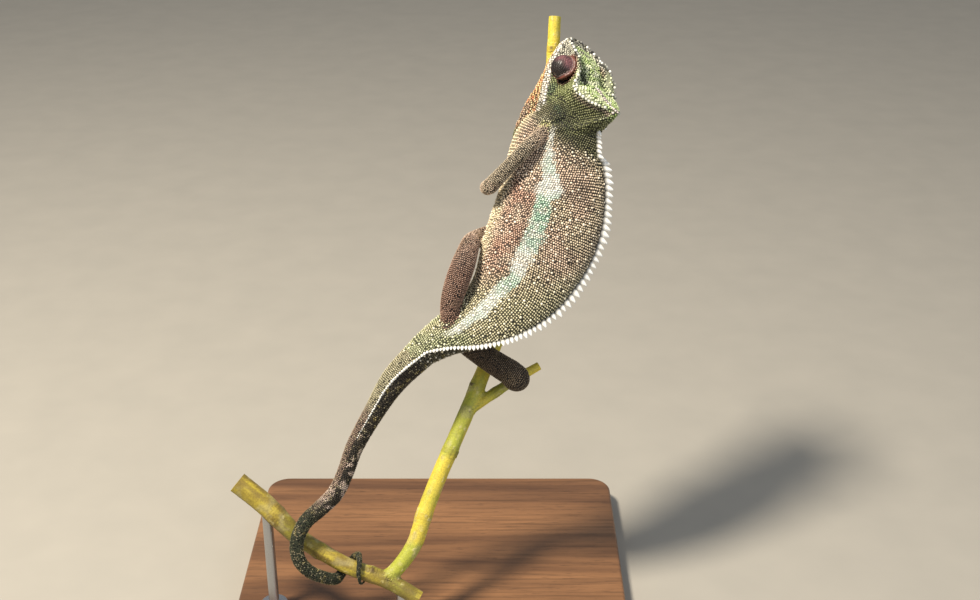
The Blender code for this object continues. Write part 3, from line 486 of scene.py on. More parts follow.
claws = []                  # root point, bend point, tip, root radius for each claw
for name, limb in LIMBS.items():
    scale = 1.0 if name.startswith("fore") else HIND_SCALE
    pieces[name + "_upper"] = tube_grid(limb["upper"], 60, 28)
    pieces[name + "_lower"] = tube_grid(limb["lower"], 60, 28)
    line = spline(limb["holds"], 240)
    i = int(np.clip(np.argmin(np.linalg.norm(line[:, :3] - limb["near"], axis=1)), 2, 237))
    hub, radius = line[i, :3], line[i, 3]
    along = unit(line[i + 2, :3] - line[i - 2, :3])
    out = square_to(np.array(limb["lower"][-1][:3]) - hub, along)
    across = np.cross(along, out)
    palm = (3.0 * scale, 4.9 * scale, 4.3 * scale)
    pieces[name + "_palm"] = ball_grid(hub + out * (radius + 2.9 * scale), palm, (out, across, along), 20, 28)
    for way, count in zip((1, -1), limb["toes"]):
        for k in range(count):
            shift = along * (k - (count - 1) / 2) * TOE_PITCH * scale
            reach = math.radians(MIDDLE_TOE_REACH if count == 3 and k == 1 else TOE_REACH)
            root = math.radians(TOE_ROOT)
            rows = []
            for t in np.linspace(0, 1, 9):
                angle = way * (root + (reach - root) * t)
                thick = (2.0 - 0.55 * t) * scale
                spoke = out * math.cos(angle) + across * math.sin(angle)
                rows.append((*(hub + (radius + thick + GAP) * spoke + shift * (1 - 0.2 * t)), thick))
            pieces[f"{name}_toe{way}{k}"] = tube_grid(rows, 24, 18)
            spokes = [out * math.cos(way * a) + across * math.sin(way * a)
                      for a in (reach + 0.02, reach + 0.2, reach + 0.42)]
            claws.append([hub + shift * 0.8 + (radius + rise * scale) * spoke
                          for spoke, rise in zip(spokes, (1.9, 1.75, 0.75))] + [0.95 * scale])
print("flesh pieces:", len(pieces), "claws:", len(claws))

# %% [markdown]
# ## One skin
# The real animal has a single hide. The grids are closed, laid over each other and fused by a voxel remesh,
# so no seam shows where a leg leaves the trunk. The hide lies a little inside the solids, by the height of
# its scales, and folds, furrows and ridges are then pressed into it along named lines.

# %% Close the grids and fuse them
COAT = 0.42                 # height of the scales over the hide, mm
SKIN_GRAIN = 0.85           # grain at which the pieces are fused, mm


def grid_faces(rows, around, first=0):
    """Quads between neighbouring rows of a closed round grid."""
    r, k = np.meshgrid(np.arange(rows - 1), np.arange(around), indexing="ij")
    a = r * around + k
    b = r * around + (k + 1) % around
    return np.stack((a, b, b + around, a + around), axis=-1).reshape(-1, 4) + first


def mesh_from(name, verts, faces):
    """Mesh object in world metres, its faces turned outwards."""
    mesh = bpy.data.meshes.new(name)
    mesh.from_pydata([tuple(v) for v in verts], [], [tuple(int(i) for i in f) for f in faces])
    bm = bmesh.new()
    bm.from_mesh(mesh)
    bmesh.ops.recalc_face_normals(bm, faces=bm.faces[:])
    if bm.calc_volume(signed=True) < 0:
        bmesh.ops.reverse_faces(bm, faces=bm.faces[:])
    bm.to_mesh(mesh)
    bm.free()
    mesh.polygons.foreach_set("use_smooth", [True] * len(mesh.polygons))
    return placed(name, mesh)


def capped(grids):
    """Vertices and faces of several round grids, each end closed by a fan to its middle."""
    verts, faces, first = [], [], 0
    for grid in grids:
        rows, around = grid.shape[:2]
        verts.append(grid.reshape(-1, 3))
        faces += grid_faces(rows, around, first).tolist()
        for row, middle in ((0, first + rows * around), (rows - 1, first + rows * around + 1)):
            ring = first + row * around + np.arange(around)
            faces += [(ring[k], ring[(k + 1) % around], middle) for k in range(around)]
        verts.append(np.array((grid[0].mean(axis=0), grid[-1].mean(axis=0))))
        first += rows * around + 2
    return np.vstack(verts), faces


def settle(obj):
    """Replace an object's mesh by the result of its modifiers."""
    graph = bpy.context.evaluated_depsgraph_get()
    mesh = bpy.data.meshes.new_from_object(obj.evaluated_get(graph))
    obj.modifiers.clear()
    obj.data = mesh
    return obj


def fuse(obj, grain, rounds):
    """Fuse overlapping closed pieces into one surface, and ease the steps that leaves."""
    voxels = obj.modifiers.new("fuse", "REMESH")
    voxels.mode = "VOXEL"
    voxels.voxel_size = grain * MM
    ease(obj, 0.5, rounds)


def ease(obj, factor, rounds):
    smooth = obj.modifiers.new("ease", "SMOOTH")
    smooth.factor = factor
    smooth.iterations = rounds
    settle(obj)


def triples(rows, key):
    """Three numbers from each row of a mesh's data."""
    flat = np.empty(len(rows) * 3)
    rows.foreach_get(key, flat)
    return flat.reshape(-1, 3)


def points_of(mesh):
    return triples(mesh.vertices, "co")


def normals_of(mesh):
    return triples(mesh.vertices, "normal")


def triangles_of(mesh):
    return sum(len(p.vertices) - 2 for p in mesh.polygons)


def set_points(mesh, points):
    mesh.vertices.foreach_set("co", np.asarray(points, np.float32).ravel())
    mesh.update()


# the trunk's neck end lies inside the head, so the fuse takes its flat cap away
verts, faces = capped([grid for grid, run, turn in pieces.values()])
skin = mesh_from("hide", to_world(verts), faces)
fuse(skin, SKIN_GRAIN, 3)
print("hide:", len(skin.data.vertices), "points,", triangles_of(skin.data), "triangles")

# %% Which piece each place on the hide came from


def charted(grids):
    """Look-up over round grids: each place gets its nearest grid's number, run in mm and turn in degrees."""
    points, known = [], []
    for index, (grid, run, turn) in enumerate(grids):
        rows, around = grid.shape[:2]
        points.append(grid.reshape(-1, 3))
        known.append((np.full(rows * around, index), np.repeat(run, around), np.tile(turn, rows)))
    columns = [np.concatenate(column) for column in zip(*known)]
    tree = KDTree(len(columns[0]))
    for index, point in enumerate(np.vstack(points)):
        tree.insert(point, index)
    tree.balance()

    def look_up(places):
        nearest = np.array([tree.find(p)[1] for p in places])
        return [column[nearest] for column in columns]

    return look_up


piece_names = list(pieces)
chart = charted(pieces.values())
print("charted pieces:", len(piece_names))

# %% [markdown]
# ## Folds and ridges
# A furrow presses the hide in along a line, and a ridge lifts it. Both fade with distance from the line, so
# they blend as real folds do: the mouth, the folds behind the jaw and in front of the shoulder, the creases
# where the legs leave the body, the lids' sockets and the crests of the head.

# %% Press and lift along lines
skin_plane = to_plane(points_of(skin.data))
skin_piece, skin_run, skin_turn = chart(skin_plane)


def distance_to(points, line):
    """Distance from each point to a line of points, and the share of the line's length at its foot."""
    best = np.full(len(points), np.inf)
    share = np.zeros(len(points))
    run = lengths(line)
    for i, (a, b) in enumerate(zip(line, line[1:])):
        span = b - a
        t = np.clip((points - a) @ span / max(span @ span, 1e-9), 0, 1)
        gap = np.linalg.norm(points - a - t[:, None] * span, axis=1)
        nearer = gap < best
        best[nearer] = gap[nearer]
        share[nearer] = (run[i] + t[nearer] * (run[i + 1] - run[i])) / run[-1]
    return best, share


def both_sides(rows):
    rows = np.array(rows, float)
    return [on_head(spline(rows * (1, side, 1), 40)) for side in (1, -1)]


def head_line(x, breadth, height):
    """Points of a line on the head's left side, from its tables of breadth and height."""
    return np.column_stack((x, profile(breadth, x), profile(height, x)))


FOLDS = []                  # line, depth pressed in (or, below zero, height lifted) and width, in mm


def fold(rows, depth, width):
    FOLDS.extend((line, depth, width) for line in both_sides(rows))


mouth = head_line(np.linspace(46.5, 3, 18), LIP_BREADTH, LIP_HEIGHT)
fold(mouth, 0.75, 0.55)
fold(head_line(np.linspace(44, CASQUE_X, 26), CREST_BREADTH, CREST_HEIGHT), -0.55, 1.1)
parietal_x = np.linspace(12, CASQUE_X, 12)
parietal_crest = np.column_stack((parietal_x, np.zeros(12), profile(CROWN_HEIGHT, parietal_x)))
FOLDS.append((on_head(parietal_crest), -0.6, 1.0))
fold(mouth + (0, 0, 2.0), -0.45, 1.6)
fold(mouth - (0, 0, 2.0), -0.4, 1.4)
# the fold behind the corner of the mouth, and the furrow and ridge behind the jaw
fold(((3, 13.8, -1.5), (-1, 14.6, -3), (-5, 16.2, -7), (-6, 17.5, -12)), 0.9, 1.0)
fold(((-8, 11, 14), (-9.5, 13.8, 6), (-9, 16, 1), (-7.5, 18, -6)), 1.1, 1.3)
fold(((-12, 10, 13), (-13.5, 13, 6), (-12.5, 16.5, 0), (-10.5, 18.5, -5)), -0.7, 1.6)
# the hollow of the temple, between the eye's rim and the crown
fold(((20, 9, 26), (17, 8.5, 25.5), (13.5, 8.4, 26.5)), 1.5, 3.0)
# the nostril's pit
fold(((41.4, 6.2, 9.2), (40.6, 6.5, 9.4)), 0.8, 0.7)
move = np.zeros(len(skin_plane))
for line, depth, width in FOLDS:
    gap, share = distance_to(skin_plane, line)
    ends = np.clip(np.minimum(share, 1 - share) / 0.12, 0.15, 1)
    move -= depth * ends * np.exp(-(gap / width) ** 2)
# long soft grooves of the throat pouch
POUCH_GROOVES = 2.9         # from one groove to the next
head_spots = in_head(skin_plane)
pouch = np.clip((profile(LIP_HEIGHT, head_spots[:, 0]) - 4.0 - head_spots[:, 2]) / 3.0, 0, 1)
pouch *= np.clip((44 - head_spots[:, 0]) / 8, 0, 1) * np.clip((head_spots[:, 0] + 9) / 8, 0, 1)
pouch *= skin_piece == piece_names.index("head")
move += 0.34 * pouch * np.cos(2 * np.pi * head_spots[:, 2] / POUCH_GROOVES)
# socket and lids' ring round each eye
for middle in EYE_MIDDLE.values():
    reach = np.linalg.norm(skin_plane - on_head(middle), axis=1) - EYE_RADIUS
    move -= 1.6 * np.exp(-((reach + 0.3) / 0.9) ** 2)
    move += 0.75 * np.exp(-((reach - 1.6) / 0.75) ** 2)
# creases across the tail's bends and the legs' joints
body = skin_piece == piece_names.index("body")
tail_share = np.clip((skin_run - VENT) / 30, 0, 1) * body
move -= 0.22 * tail_share * np.maximum(np.cos(2 * np.pi * skin_run / 4.2), 0) ** 6
for name, limb in LIMBS.items():
    gap = np.linalg.norm(skin_plane - np.array(limb["upper"][-1][:3]), axis=1)
    own = np.isin(skin_piece, [piece_names.index(name + "_" + p) for p in ("upper", "lower")])
    move -= 0.2 * own * np.exp(-(gap / 7) ** 2) * (0.5 + 0.5 * np.cos(2 * np.pi * skin_run / 2.6))
# ribs' faint relief on the flank
flank = body * np.clip((skin_run - 35) / 15, 0, 1) * np.clip((125 - skin_run) / 15, 0, 1)
move += 0.16 * flank * np.cos(2 * np.pi * skin_run / 7.2) * np.abs(np.sin(np.radians(skin_turn)))
skin.data.update()
set_points(skin.data, to_world(skin_plane + way_to_plane(normals_of(skin.data)) * (move - COAT)[:, None]))
ease(skin, 0.35, 1)
skin_plane = to_plane(points_of(skin.data))
print("deepest fold", round(float(-move.min()), 2), "mm, highest ridge", round(float(move.max()), 2), "mm")

# %% [markdown]
# ## Markings
# Hide and scales carry the same markings, so one function colours both. It lays one named colour over another
# by place on the body: run along it, turn from the back round to the belly, and the head's own heights.
# Soft random patches break the edges, as pigment does. Colours are sRGB hex, turned linear in one place.

# %% Colours and soft patches


def linear(code):
    """sRGB hex to linear red, green and blue."""
    c = np.array([int(code[i:i + 2], 16) for i in (1, 3, 5)]) / 255
    return np.where(c <= 0.04045, c / 12.92, ((c + 0.055) / 1.055) ** 2.4)


def ramp(x, start, stop):
    """0 before start, 1 after stop, smooth between; start may be the higher."""
    t = np.clip((x - start) / (stop - start), 0, 1)
    return t * t * (3 - 2 * t)


def mottle(points, size, seed):
    """Smooth random value from 0 to 1 over space, in patches about size mm across."""
    grid = np.asarray(points) / size + 31.7 * seed
    cell = np.floor(grid).astype(np.int64)
    t = grid - cell
    t = t * t * (3 - 2 * t)
    total = np.zeros(len(grid))
    for corner in itertools.product((0, 1), repeat=3):
        c = cell + corner
        mixed = (c[:, 0] * 73856093) ^ (c[:, 1] * 19349663) ^ (c[:, 2] * 83492791)
        mixed = (mixed * 2654435761 + 974711) & 0xFFFFFFFF
        mixed = ((mixed ^ (mixed >> 15)) * 2246822519) & 0xFFFFFFFF
        value = ((mixed ^ (mixed >> 13)) & 0xFFFF) / 0xFFFF
        share = np.prod(np.where(corner, t, 1 - t), axis=1)
        total += value * share
    return total


PIGMENT = {name: linear(code) for name, code in {
    "back_tan": "#dfcaa6", "back_brown": "#6f5738", "back_rose": "#e0bda2", "nape_olive": "#66692f",
    "nape_dark_and_fold_shade": "#353d12", "neck_pale": "#d9d7b4", "flank_rose": "#ebcbb0", "flank_red": "#d69a7c",
    "belly_straw": "#f0e0b8", "stripe_white": "#fbfbf4", "stripe_mint": "#a4dcba", "rump_olive": "#d0cb9a",
    "rump_green": "#b4bd86", "shield_green": "#9cc04e", "shield_pale": "#eef0cc", "hollow_green_and_shade": "#24350f",
    "cheek_olive": "#747f36", "cheek_green": "#33502a", "snout_pale": "#bcbaa8", "snout_dark": "#3d3d2e",
    "lip_white": "#e4dccd", "throat_orange": "#d8741c", "throat_pale": "#f8d88c", "throat_brown": "#5d3415",
    "fold_yellow": "#c6c25a", "fold_red": "#7a4433", "crest_white": "#f2f1ea", "crest_rose": "#a98a84",
    "crest_shadow": "#2a241a", "arm_grey": "#a8977a", "arm_orange": "#b5814c", "thigh_plum": "#946a55",
    "shin_rose": "#b08f78", "far_leg_dark_and_shade": "#44360f", "foot_grey": "#84745e", "tail_straw_sunlit": "#bdb58c",
    "tail_dark": "#2a1f06", "tail_rose_sunlit": "#9a7b66", "tail_wrinkle": "#d0b6a6", "tail_fleck": "#b09a3c",
    "coil_dark": "#27310b", "large_bead": "#f3ecd8", "coil_bead": "#a4966a", "snout_bead": "#3b3a2c",
    "lid_plum": "#5b3a3d", "lid_rose": "#8a5a5e", "lid_black": "#1d1614", "lid_red": "#5f3328",
    "lid_pale": "#d6b9b4", "bark_yellow": "#cdb93e", "bark_green": "#93a036", "bark_brown": "#6b5527",
    "bark_grey": "#a39a72", "bark_scar": "#4a3a20", "bark_pore": "#c9bd86"}.items()}

# run in mm, middle of the pale stripe in degrees from the back, half its breadth in degrees
STRIPE_AT = ((14, 96), (28, 93), (45, 90), (53, 90), (61, 96), (69, 94), (85, 94), (94, 92), (108, 90),
             (117, 90), (125, 86), (133, 81), (143, 70), (152, 56), (162, 45))
STRIPE_HALF = ((14, 4), (28, 5.5), (40, 7), (46, 9), (53, 14), (61, 8), (76, 10), (94, 10), (104, 9),
               (117, 9), (130, 10), (143, 10), (152, 9), (162, 4))
# how green the stripe is along its run
MINT = ((30, 0.1), (40, 0.5), (47, 0.15), (55, 0.2), (61, 1.0), (70, 1.1), (80, 0.75), (88, 0.6), (94, 0.1),
        (103, 0.15), (110, 0.75), (118, 0.5), (126, 0.15), (140, 0.35), (152, 0.1))

# %% The markings


class Layers:
    """Colours of many places, with named pigments laid over them."""

    def __init__(self, count, pigment):
        self.rgb = np.tile(PIGMENT[pigment], (count, 1))

    def lay(self, pigment, amount):
        amount = np.clip(amount, 0, 1)[:, None]
        self.rgb = self.rgb * (1 - amount) + PIGMENT[pigment] * amount


    def over(self, own, other):
        """Let another set of layers stand wherever own is true."""
        self.rgb = np.where(own[:, None], other.rgb, self.rgb)


def mottles(points):
    """Broad, middling and fine patches."""
    return [mottle(points, size, seed) for size, seed in ((15, 1), (6, 2), (2.4, 3))]


def trunk_marks(patches, run, from_back, right):
    broad, middling, fine = patches
    drift = middling - 0.5
    coat = Layers(len(run), "back_tan")
    coat.lay("back_rose", 0.75 * ramp(broad + 0.4 * fine, 0.5, 0.95) * ramp(from_back, 20, 45))
    coat.lay("back_brown", 0.5 * ramp(middling + 0.35 * broad, 0.75, 1.05))
    coat.lay("flank_rose", 0.8 * ramp(from_back + 14 * drift, 92, 108))
    red = ramp(from_back, 98, 108) * ramp(from_back, 150, 130) * ramp(run, 38, 56) * ramp(run, 126, 104)
    coat.lay("flank_red", 0.75 * red * ramp(middling + 0.5 * broad, 0.4, 0.95))
    off_stripe = from_back - profile(STRIPE_AT, run)
    coat.lay("back_brown", 0.45 * ramp(np.abs(off_stripe - 15), 9, 3) * ramp(run, 36, 60)
             * ramp(run, 135, 110) * ramp(fine, 0.25, 0.75))
    coat.lay("back_brown", 0.4 * ramp(np.abs(off_stripe + 15), 7, 2) * ramp(run, 46, 66)
             * ramp(run, 110, 90) * ramp(fine, 0.3, 0.8))
    coat.lay("belly_straw", 0.85 * ramp(from_back + 10 * drift, 134, 152))
    coat.lay("rump_olive", 0.8 * ramp(run + 0.3 * (90 - from_back) + 8 * drift, 96, 132))
    coat.lay("rump_green", 0.8 * ramp(run + 10 * drift, 140, 158) * ramp(broad, 0.25, 0.6))
    coat.lay("nape_olive", 0.9 * ramp(run + 0.16 * from_back + 8 * drift, 50, 26))
    coat.lay("nape_dark_and_fold_shade", 0.75 * ramp(run + 0.2 * np.abs(from_back - 62) + 8 * drift, 34, 14))
    stripe_off = np.abs(from_back + 7 * drift + 6 * (fine - 0.5) - profile(STRIPE_AT, run))
    stripe = ramp(stripe_off / profile(STRIPE_HALF, run), 1.3, 0.75) * ramp(run, 14, 24) * ramp(run, 168, 152)
    stripe = stripe * (0.72 + 0.28 * ramp(fine + 0.4 * middling, 0.35, 0.75))
    coat.lay("stripe_white", 0.95 * stripe)
    mint = profile(MINT, run + 5 * drift) * (0.5 + 0.5 * ramp(fine, 0.3, 0.6))
    coat.lay("stripe_mint", 0.85 * stripe * np.clip(mint, 0, 1))
    coat.lay("neck_pale", 0.75 * ramp(np.abs(from_back - 106 + 0.5 * (run - 20)), 12, 5) * ramp(run, 12, 17)
             * ramp(run, 34, 24))
    coat.lay("fold_yellow", 0.75 * ramp(np.abs(from_back - 106), 12, 5) * ramp(np.abs(run - 20), 6, 3))
    # the far (right) side of the rump darkened, partly its own dark brown with yellow flecks and partly
    # painted shade
    far_rump_dark_and_shade = 0.9 * right * ramp(run, 132, 152) * ramp(from_back, 5, 10)
    coat.lay("tail_dark", far_rump_dark_and_shade)
    coat.lay("tail_fleck", far_rump_dark_and_shade * ramp(fine, 0.72, 0.86))
    coat.lay("crest_shadow", 0.75 * ramp(from_back + 5 * (fine - 0.5), 8, 4) * ramp(run, 30, 42))
    return coat


def tail_marks(patches, past, from_back, right):
    """Marks of the tail, whose run is counted past the vent."""
    middling, fine = patches[1:]
    drift = middling - 0.5
    tail = Layers(len(past), "tail_dark")
    # painted light: the tail's left side, towards the lamp, is laid paler in straw at the root and rose
    # further on, mostly painted light over the tail's own dark colour
    sunlit_side = ~right & (from_back > 4)
    tail.lay("tail_straw_sunlit", 0.95 * sunlit_side * ramp(past + 8 * drift, 58, 40))
    tail.lay("tail_rose_sunlit", 0.9 * sunlit_side * ramp(past, 36, 56) * ramp(past, 122, 104) * (0.6 + 0.4 * middling))
    tail.lay("tail_fleck", 0.7 * right * ramp(past, 104, 88) * ramp(fine, 0.68, 0.85))
    wrinkles = ramp(fine + 0.35 * middling, 0.72, 0.95) * ramp(past, 52, 66) * ramp(past, 118, 106)
    tail.lay("tail_wrinkle", 0.85 * right * wrinkles)
    tail.lay("tail_wrinkle", 0.8 * ramp(np.abs(past - 100), 9, 4) * ramp(fine + 0.2 * middling, 0.5, 0.75))
    tail.lay("coil_dark", ramp(past + 6 * drift, 104, 122))
    tail.lay("tail_fleck", 0.6 * ramp(past, 106, 124) * ramp(fine, 0.66, 0.86))
    tail.lay("crest_white", 0.8 * ramp(from_back, 7, 4) * ramp(past, 60, 45))
    return tail


def leg_marks(patches, points, name, upper, lower, run):
    middling = patches[1]
    leg = Layers(len(points), "foot_grey")
    if name.startswith("fore"):
        arm = upper | lower
        leg.lay("arm_grey", 1.0 * arm)
        leg.lay("arm_orange", 0.7 * arm * ramp(points[:, 0] - 0.7 * points[:, 1] + 34, -4, 6))
        leg.lay("flank_rose", 0.6 * arm * ramp(run, 22, 8))
        leg.lay("back_brown", 0.5 * arm * ramp(middling, 0.5, 0.8))
    else:
        leg.lay("thigh_plum", 1.0 * upper)
        leg.lay("shin_rose", 0.85 * lower + 0.45 * upper * ramp(run, 34, 46))
        leg.lay("back_brown", 0.4 * ramp(middling, 0.45, 0.8))
    # the far legs darkened, partly their own dark brown and partly painted shade
    if name.endswith("right"):
        leg.lay("far_leg_dark_and_shade", 0.8 * np.ones(len(points)))
    return leg


def face_marks(patches, points):
    middling, fine = patches[1:]
    drift = middling - 0.5
    spot = in_head(points)
    x, y, z = spot[:, 0], np.abs(spot[:, 1] + THROAT_LEAN * np.minimum(spot[:, 2], 0)), spot[:, 2]
    over_crest = z - profile(CREST_HEIGHT, x)
    over_lip = z - profile(LIP_HEIGHT, x)

    def near_spot(centre_x, centre_z, reach, soft=3.0):
        gap = np.hypot(x - centre_x, z - centre_z) + soft * drift
        return ramp(gap, reach, 0.5 * reach)

    face = Layers(len(points), "cheek_olive")
    face.lay("nape_olive", 0.8 * ramp(x + 0.2 * (z - 8) + 4 * drift, 7, -1))
    face.lay("cheek_green", 0.8 * near_spot(11, 3, 5.5))
    face.lay("nape_dark_and_fold_shade", 0.85 * near_spot(-7, 10, 10))
    face.lay("cheek_green", 0.85 * near_spot(-4, 7.5, 5.5))
    face.lay("crest_rose", 0.6 * ramp(over_crest, -6.5, -3.5) * ramp(x, 6, -2) * ramp(x, -11.8, -10))
    face.lay("snout_pale", ramp(x + 3 * drift, 25, 31) * ramp(over_lip, 0.5, 3))
    # the shield of the crown, between the crests
    out = y / profile(CREST_BREADTH, x)
    dip = np.minimum(profile(CROWN_HEIGHT, x) - profile(CREST_HEIGHT, x), 0)
    inside_crests = ramp(out, 1.0, 0.9) * ramp(over_crest, dip - 2.5, dip - 1.0)
    shield = np.maximum(ramp(over_crest, -0.8, 0.6), inside_crests) * ramp(x, -12.5, -10)
    face.lay("shield_green", shield)
    face.lay("shield_pale", shield * (0.15 + 0.7 * ramp(fine + 0.25 * middling, 0.5, 0.9)))
    # the temple hollow on the near (left) side only: dark green, partly pigment and partly painted shade in
    # the hollow
    hollow = distance_to(points, on_head(np.array(((20.5, 9.2, 26), (17, 8.4, 25), (13.5, 8.2, 26)))))[0]
    face.lay("hollow_green_and_shade", 0.95 * ramp(hollow + 1.5 * drift, 4.6, 2.2))
    rim = ramp(out, 0.62, 0.8)
    face.lay("snout_pale", np.clip(ramp(x + 4 * drift, 36, 41) + rim * ramp(x, 22, 28), 0, 1) * shield)
    face.lay("shield_pale", 0.6 * rim * ramp(x, 28, 22) * shield)
    face.lay("snout_dark", 0.85 * ramp(x, 28, 34) * ramp(over_lip, 2, 4) * ramp(fine, 0.58, 0.72))
    # throat and lips
    under = ramp(over_lip, -2.6, -4.2) * ramp(x, -7, 0)
    face.lay("throat_orange", under)
    stripes = ramp(np.cos(2 * np.pi * z / POUCH_GROOVES) + 1.1 * (fine - 0.5), 0.0, 0.7)
    face.lay("throat_pale", 0.85 * under * stripes)
    face.lay("throat_brown", 0.8 * under * ramp(middling + 0.3 * fine, 0.72, 0.95) * (1 - stripes))
    face.lay("crest_rose", 0.5 * under * ramp(over_lip, -9, -13) * ramp(middling, 0.3, 0.7))
    face.lay("lip_white", ramp(np.abs(over_lip), 3.0, 1.8) * ramp(x, -4, 0))
    face.lay("lip_white", 0.95 * near_spot(2.5, -2.5, 5.5, 2.0))
    face.lay("fold_yellow", 0.8 * near_spot(-10, -1, 6.5))
    # painted shade: the creases behind the jaw darkened along the furrow lines
    jaw_folds = both_sides(((-7.5, 11.5, 12), (-8.5, 14, 5), (-6.5, 17, -2)))
    off_folds = np.minimum(*(distance_to(points, line)[0] for line in jaw_folds))
    face.lay("nape_dark_and_fold_shade", 0.9 * ramp(off_folds, 2.2, 1.0))
    face.lay("fold_red", 0.85 * ramp(np.abs(off_eyes(points) - 0.8), 2.0, 1.2))
    face.lay("nape_dark_and_fold_shade", 0.45 * ramp(x + 0.3 * z, 13, 3) * ramp(over_crest, 0, -2) * ramp(fine, 0.2, 0.6))
    return face


def off_eyes(points):
    """Distance from the nearer eye turret."""
    spot = in_head(points)
    return np.minimum(*(np.linalg.norm(spot - middle, axis=1) for middle in EYE_MIDDLE.values())) - EYE_RADIUS


def of_piece(piece, name):
    return piece == piece_names.index(name)


def markings(points, piece, run, turn):
    """Linear colour at places given in plane mm with their chart."""
    side = (turn + 180) % 360 - 180
    from_back, right = np.abs(side), side > 0
    patches = mottles(points)
    coat = trunk_marks(patches, run, from_back, right)
    coat.over(of_piece(piece, "body") & (run >= VENT + 8), tail_marks(patches, run - VENT, from_back, right))
    for name in LIMBS:
        own = np.isin(piece, [i for i, p in enumerate(piece_names) if p.startswith(name)])
        upper, lower = (of_piece(piece, name + part) for part in ("_upper", "_lower"))
        coat.over(own, leg_marks(patches, points, name, upper, lower, run))
    coat.over(of_piece(piece, "head"), face_marks(patches, points))
    return coat.rgb


skin_piece, skin_run, skin_turn = chart(skin_plane)
hide_rgb = markings(skin_plane, skin_piece, skin_run, skin_turn)
print("colours on the hide:", len(hide_rgb), "places from", len(PIGMENT), "pigments")

# %% [markdown]
# ## Where the scales grow
# A chameleon's scales are small round beads that sit side by side, with the hide showing between them, and
# larger pale beads scattered among them. They are set out in rings round trunk, tail, legs and head, with
# bigger plates along the head's edges. Each ring is walked at its real spacing and dropped onto the hide.
# Beads are then taken in order, the large ones first, wherever they don't crowd one already there, and what
# is left bare is filled at random.

# %% Rows of beads
TRUNK_PITCH = 1.42          # spacing of the beads on the flank, mm
TAIL_PITCH = 1.12
LIMB_PITCH = 1.12
FOOT_PITCH = 0.95
HEAD_PITCH = 1.5
ROW_STEP = 0.88             # from ring to ring, per pitch, since beads of neighbouring rings nest
seeds = []                  # point, pitch, kind for each candidate bead
GRANULE, TUBERCLE, PLATE, INFILL = 0, 1, 2, 3


def ring_at(grid, run, where):
    """Ring of a grid at a distance run along it, between its own rings."""
    i = int(np.clip(np.searchsorted(run, where) - 1, 0, len(run) - 2))
    t = np.clip((where - run[i]) / max(run[i + 1] - run[i], 1e-6), 0, 1)
    return grid[i] * (1 - t) + grid[i + 1] * t


def walk(line, distances):
    run = lengths(line)
    return np.column_stack([np.interp(distances, run, line[:, k]) for k in range(3)])


def body_pitch(run):
    """Spacing of the beads along trunk and tail, finer towards the neck and the tail's tip."""
    thick = np.interp(run, body_run, breadths)
    trunk = TRUNK_PITCH * (0.84 + 0.16 * ramp(run, 0, 40))
    tail = TAIL_PITCH * np.clip(thick / 10, 0.55, 1.1)
    return float(trunk + (tail - trunk) * ramp(run, VENT - 25, VENT + 15))


grid, run, turn = pieces["body"]
half = grid.shape[1] // 2
where, step = 2.0, 0
while where < body_run[-1] - 0.4:
    pitch = body_pitch(where)
    ring = ring_at(grid, run, where)
    for side in (1, -1):
        line = ring[np.arange(0, side * half + side, side) % len(ring)]
        total = lengths(line)[-1]
        distances = np.arange(0.5 * (step % 2), total / pitch - 0.2) * pitch
        if side == -1:
            distances = distances[distances > 0]
        for k, point in enumerate(walk(line, distances)):
            big = 24 < where < VENT + 10 and k % 3 == 1 and step % 3 == (k // 3) % 2 and dice.random() < 0.7
            near_back = distances[k] < 0.55 * total
            kind = TUBERCLE if big and (near_back or dice.random() < 0.4) else GRANULE
            seeds.append((*point, pitch, kind))
    where += ROW_STEP * pitch
    step += 1
print("beads set out on trunk and tail:", len(seeds))

# %% Rings of beads on the legs and toes, and plates on the head
for name, (grid, run, turn) in pieces.items():
    if name in ("body", "head"):
        continue
    pitch = FOOT_PITCH if "toe" in name or "palm" in name else LIMB_PITCH
    where, step = 0.3, 0
    while where < run[-1] - 0.2:
        ring = ring_at(grid, run, where)
        line = np.vstack((ring, ring[:1]))
        total = lengths(line)[-1]
        count = max(int(round(total / pitch)), 4)
        for point in walk(line, (np.arange(count) + 0.5 * (step % 2)) * total / count):
            seeds.append((*point, pitch, GRANULE))
        where += ROW_STEP * pitch
        step += 1

grid, run, turn = pieces["head"]
crest_at = HEAD_LOW - 1     # place of the lateral crest round the head's ring
around = grid.shape[1]
where, step = 0.6, 0
while where < run[-1]:
    ring = ring_at(grid, run, where)
    x = NAPE_X + where
    pitch = HEAD_PITCH * (0.8 + 0.2 * ramp(x, -14, 4)) * (1 - 0.12 * ramp(x, 36, 46))
    for side in (1, -1):
        start = crest_at if side == 1 else around - crest_at
        down = ring[np.arange(start, (0 if side == 1 else around) - side, -side) % around]
        up = ring[np.arange(start, (around // 2 + side), side) % around]
        for line, size in ((down, pitch), (up, pitch * 1.12)):
            total = lengths(line)[-1]
            distances = (np.arange(0.9 + 0.5 * (step % 2), total / size)) * size
            for point in walk(line, distances):
                seeds.append((*point, size, GRANULE))
    where += ROW_STEP * pitch
    step += 1
print("beads set out in all:", len(seeds))

# %% [markdown]
# ## Rows of large plates on the head
# Big pale scales follow the edges: the lateral crest from the snout over the eye to the casque, the crown's
# middle line and the upper lip. Their sizes vary, as they do on a real head.

# %% Named rows of plates


def plate_row(line, pitch):
    """Plates at an even pitch along a line."""
    run = lengths(line)
    count = max(int(round(run[-1] / pitch)), 2)
    for point in walk(line, (np.arange(count) + 0.5 + dice.normal(0, 0.1, count)) * run[-1] / count):
        seeds.append((*point + dice.normal(0, 0.12, 3), pitch * dice.uniform(0.85, 1.15), PLATE))


